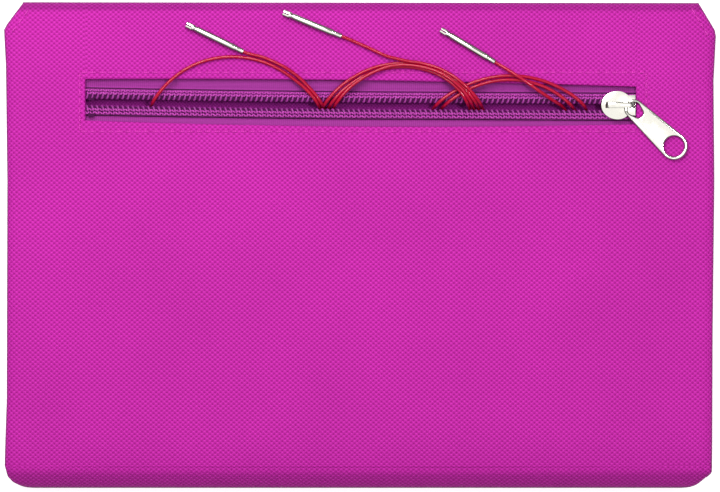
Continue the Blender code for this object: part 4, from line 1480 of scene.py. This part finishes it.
def coil_points(cord):
    """The coil's turns: a ring on the face, and below the slit an oval about as wide as at the slit."""
    cx, cy = cord["centre"]
    radius = cord["radius"]
    half = math.sqrt(radius**2 - (SLIT_Y - cy) ** 2)
    degrees, lanes, layers = (np.array(column) for column in zip(*cord["stops"]))
    points = []
    for angle in np.arange(degrees[0], degrees[-1], -1.5):
        lane = eased(-angle, -degrees, lanes) * 0.001
        layer = eased(-angle, -degrees, layers) * CORD_STEP
        turn = math.radians(angle)
        x, y = (radius + lane) * math.cos(turn), cy + (radius + lane) * math.sin(turn)
        if y < SLIT_Y:
            spare = 0.0016
            excess = abs(x) - half - lane
            if excess > 0.0:
                x = math.copysign(half + lane + spare * math.tanh(excess / spare), x)
        shared = cord["rise"] * float(smoothstep((x - 0.006) / 0.010)) if cord["rise"] else 0.0
        low = POCKET_LEVEL + cord["rise"] + layer
        high = FACE_LEVEL + shared + layer
        slit = SLIT_Y + sway_at(cx + x)
        points.append(Vector((cx + x, y, climb_height(y, low, high, slit))))
    return points


def eased(at, marks, values):
    """A smooth curve through the values at the marks, which never overshoots them."""
    k = int(np.clip(np.searchsorted(marks, at) - 1, 0, len(marks) - 2))
    span = marks[k + 1] - marks[k]
    share = (at - marks[k]) / span
    slopes = []
    for m in (k, k + 1):
        if m == 0 or m == len(marks) - 1:
            slopes.append((values[k + 1] - values[k]) / span)
        else:
            before = (values[m] - values[m - 1]) / (marks[m] - marks[m - 1])
            after = (values[m + 1] - values[m]) / (marks[m + 1] - marks[m])
            slopes.append(0.0 if before * after <= 0.0 else 2.0 * before * after / (before + after))
    square, cube = share**2, share**3
    return float(
        values[k] * (2 * cube - 3 * square + 1) + slopes[0] * span * (cube - 2 * square + share)
        + values[k + 1] * (3 * square - 2 * cube) + slopes[1] * span * (cube - square)
    )


def smooth_line(points, step):
    """A Catmull-Rom curve through the points, then read at even steps along it."""
    ends = [2.0 * points[0] - points[1], *points, 2.0 * points[-1] - points[-2]]
    fine = []
    for index in range(1, len(ends) - 2):
        a, b, c, d = ends[index - 1 : index + 3]
        for part in range(6):
            t = part / 6
            fine.append(0.5 * (2.0 * b + (c - a) * t + (2.0 * a - 5.0 * b + 4.0 * c - d) * t**2
                               + (3.0 * b - a - 3.0 * c + d) * t**3))
    fine.append(points[-1])
    line = np.array(fine)
    for _ in range(3):
        line[1:-1] = 0.25 * line[:-2] + 0.5 * line[1:-1] + 0.25 * line[2:]
    walked = np.concatenate([[0.0], np.cumsum(np.linalg.norm(np.diff(line, axis=0), axis=1))])
    at = np.linspace(0.0, walked[-1], int(walked[-1] / step) + 1)
    return np.stack([np.interp(at, walked, line[:, k]) for k in range(3)], axis=1)


def connector_profile(length, radius):
    """A tube that tapers to the cord at its back, with a neck and a collar near its tip."""
    back = 0.80 * radius
    return [
        (0.0, 0.0012), (0.00060, 0.0012), (0.00062, 0.0002), (0.00070, 0.0), (back - 0.00008, 0.0),
        (back, 0.0001), (back, 0.0024), (0.86 * radius, 0.0028), (0.94 * radius, 0.0032), (radius, 0.0037),
        (radius, length - 0.0040), (0.96 * radius, length - 0.0039), (0.82 * radius, length - 0.0038),
        (0.80 * radius, length - 0.0036), (0.80 * radius, length - 0.0034), (0.82 * radius, length - 0.0032),
        (0.96 * radius, length - 0.0031), (radius, length - 0.0030), (radius, length - 0.0023),
        (0.97 * radius, length - 0.0022), (0.0, length - 0.0022),
    ]


def prong_points(radius, low, high, first, last, steps=16):
    """Points and faces of one half of the split tip: a part of a disc, drawn out along Y."""
    outline = []
    for step in range(steps + 1):
        angle = math.radians(first + (last - first) * step / steps)
        across, up = math.cos(angle), math.sin(angle)
        outline.append((radius * math.copysign(abs(across) ** 0.55, across),
                        radius * math.copysign(abs(up) ** 0.55, up)))
    taper = 0.94
    points = [(x, low, z) for x, z in outline] + [(x * taper, high, z * taper) for x, z in outline]
    count = len(outline)
    faces = [tuple(range(count)), tuple(range(2 * count - 1, count - 1, -1))]
    for k in range(count):
        other = (k + 1) % count
        faces.append((k, count + k, count + other, other))
    return points, faces


def connector(node):
    """A turned connector in its CAD node's place, with its back end and the way it points."""
    low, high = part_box(node)
    centre = 0.5 * (low + high)
    cloud = np.array([v.co for v in frame["nodes"][node].data.vertices])
    flat = cloud[:, :2] - cloud[:, :2].mean(axis=0)
    heading = math.radians(CONNECTOR_HEADING[node])
    axis = np.array([math.cos(heading), math.sin(heading)])
    along = flat @ axis
    length = float(along.max() - along.min())
    radius = 0.5 * (high.z - low.z)
    middle = cloud[:, :2].mean(axis=0) + axis * 0.5 * (along.max() + along.min())
    back = middle - axis * length * 0.5
    turn = Matrix.Rotation(math.atan2(axis[1], axis[0]) - 0.5 * math.pi, 4, "Z")
    place = Matrix.Translation((back[0], back[1], centre.z)) @ turn
    piece = turned(f"{node}_turned", connector_profile(length, radius), 36, place)
    bm = bmesh.new()
    bm.from_mesh(piece.data)
    for first, last in ((-87.0, 87.0), (93.0, 267.0)):
        points, faces = prong_points(0.99 * radius, length - 0.00225, length, first, last)
        corners = [bm.verts.new(place @ Vector(p)) for p in points]
        for face in faces:
            bm.faces.new([corners[k] for k in face])
    bmesh.ops.recalc_face_normals(bm, faces=bm.faces[:])
    bm.to_mesh(piece.data)
    bm.free()
    finished(piece, (NICKEL,), "back_half", (node,), 35.0)
    return piece, Vector((back[0], back[1], centre.z)), Vector((axis[0], axis[1], 0.0))


CONNECTOR_HEADING = {
    "left_cord_outer_connector": 154.4,
    "left_cord_inner_connector": 172.0,
    "middle_cord_outer_connector": 157.8,
    "middle_cord_inner_connector": 176.0,
    "right_cord_outer_connector": 149.2,
    "right_cord_inner_connector": 172.0,
}


def cords():
    for cord in CORDS:
        name = cord["name"]
        outer, outer_back, outer_axis = connector(f"{name}_outer_connector")
        inner, inner_back, inner_axis = connector(f"{name}_inner_connector")
        tail = [outer_back + outer_axis * 0.0011, *(Vector(p) for p in cord["tail"])]
        end = [inner_back - inner_axis * 0.0040, inner_back, inner_back + inner_axis * 0.0011]
        line = smooth_line([*tail, *coil_points(cord), *end], 0.0011)
        curve = bpy.data.curves.new(f"{name}_line", "CURVE")
        curve.dimensions = "3D"
        curve.bevel_depth = CORD_D / 2.0
        curve.bevel_resolution = 4
        curve.use_fill_caps = True
        spline = curve.splines.new("POLY")
        spline.points.add(len(line) - 1)
        for spot, point in zip(spline.points, line):
            spot.co = (*point, 1.0)
        piece = new_object(f"{name}_wound", curve)
        finished(piece, (CORD,), "back_half", (f"{name}_coil", f"{name}_tail"))
        long = float(np.linalg.norm(np.diff(line, axis=0), axis=1).sum())
        print(f"{name}: {long:.3f} m")


# ---------------------------------------------------------------- stitches on the outside


def stitch_run(start, end, pitch, length, height, lift=0.00012):
    """Evenly spaced stitches on a straight line across the face."""
    start, end = Vector(start), Vector(end)
    reach = (end - start).length
    count = max(1, round(reach / pitch))
    step = (end - start) / count
    unit = (end - start).normalized()
    pairs = []
    for k in range(count):
        middle = start + step * (k + 0.5)
        ends = [middle - unit * length * 0.5, middle + unit * length * 0.5]
        pairs.append([(p.x, p.y, height(p.x, p.y) + lift) for p in ends])
    return pairs


def outer_stitches():
    left, right, low, high = STITCH_FRAME
    pairs = []
    for start, end in (((left, low), (right, low)), ((right, low), (right, high)),
                       ((right, high), (left, high)), ((left, high), (left, low))):
        pairs += stitch_run(start, end, 0.0031, 0.0024, face_height)
    piece = beads("window_stitches", pairs, 0.00032)
    finished(piece, (SHELL_THREAD,), "back_half")
    pairs = []
    for side, sign in ((LEFT_EDGE, -1.0), (RIGHT_EDGE, 1.0)):
        (y0, x0), (y1, x1) = side[-2:]
        inward = Vector((y1 - y0, x0 - x1)).normalized() * 0.0033
        start = Vector((x0 - inward.x, y0 - inward.y))
        end = Vector((x1 - inward.x, y1 - inward.y))
        pairs += stitch_run((sign * start.x, start.y), (sign * end.x, end.y), 0.0033, 0.0024, face_height)
    piece = beads("corner_stitches", pairs, 0.00032)
    finished(piece, (SHELL_THREAD,), "back_half")


# ---------------------------------------------------------------- carried-over CAD nodes


def dressed(node, material):
    shown = frame["nodes"][node]
    shown.data.materials.clear()
    shown.data.materials.append(material)


def carried_over():
    dressed("front_board", BOARD)
    dressed("back_board", BOARD)
    dressed("pocket_lining", POCKET)
    dressed("slider_lock_spring", NICKEL)


# ---------------------------------------------------------------- stage, light and camera


def stage():
    mesh = bpy.data.meshes.new("floor")
    size = 4.0
    corners = [(x, y, 0.0) for x, y in rectangle(-size, size, -size, size)]
    mesh.from_pydata(corners, [], [(0, 1, 2, 3)])
    floor = new_object("floor", mesh)
    floor.location.z = -0.0002
    mesh.materials.append(FLOOR)


def area_light(name, place, size, power):
    """A round lamp that points at the middle of the case."""
    light = bpy.data.lights.new(name, "AREA")
    light.shape = "DISK"
    light.size = size
    light.energy = power
    lamp = new_object(name, light)
    lamp.location = place
    lamp.rotation_euler = (-Vector(place)).to_track_quat("-Z", "Y").to_euler()


def world():
    made = bpy.data.worlds.new("studio")
    made.use_nodes = True
    bpy.context.scene.world = made
    nodes, links = made.node_tree.nodes, made.node_tree.links
    place = nodes.new("ShaderNodeTexCoord")
    towards = nodes.new("ShaderNodeVectorMath")
    towards.operation = "DOT_PRODUCT"
    towards.inputs[1].default_value = Vector((-0.14, -0.16, 1.0)).normalized()
    ramp = nodes.new("ShaderNodeValToRGB")
    links.new(place.outputs["Generated"], towards.inputs[0])
    links.new(towards.outputs["Value"], ramp.inputs[0])
    ramp.color_ramp.elements[0].position = 0.0
    ramp.color_ramp.elements[0].color = (0.45, 0.45, 0.45, 1.0)
    ramp.color_ramp.elements[1].position = 1.0
    ramp.color_ramp.elements[1].color = (1.02, 1.02, 1.02, 1.0)
    levels = ((0.30, 0.42), (0.46, 0.30), (0.54, 0.05), (0.70, 0.10), (0.80, 0.55), (0.88, 1.00))
    for position, level in levels:
        ramp.color_ramp.elements.new(position).color = (level, level, level, 1.0)
    links.new(ramp.outputs[0], nodes["Background"].inputs["Color"])
    nodes["Background"].inputs["Strength"].default_value = 1.0


def camera():
    data = bpy.data.cameras.new("camera")
    data.lens = 200.0
    data.sensor_width = 36.0
    data.clip_start = 0.05
    data.clip_end = 20.0
    shown = new_object("camera", data)
    shown.location = (0.0, -0.00014, FACE + 1.402)
    bpy.context.scene.camera = shown
    bpy.context.scene.view_settings.view_transform = "Standard"


def lights():
    world()
    area_light("key", (0.34, 0.10, 1.12), 0.16, 3.6)
    area_light("soft_left", (-0.15, 0.34, 0.62), 0.50, 4.5)


# ---------------------------------------------------------------- build

camera()
lights()
stage()
cords()
back_skin()
front_skin()
stiffener()
spine_covers()
linings()
strip_cloth("needle_pocket_cloth", "needle_pocket", LINING, 0.0050, 0.00035)
strip_cloth("needle_band_elastic", "needle_band", ELASTIC, 0.0010, 0.00015)
seam_stitches("pocket_seams", "needle_pocket", 0.0010, "front_half")
seam_stitches("band_seams", "needle_band", 0.0010, "front_half")
tabs()
needle_tips()
zip_parts()
slider_body()
slider_bridge()
pull_tab()
outer_stitches()
carried_over()
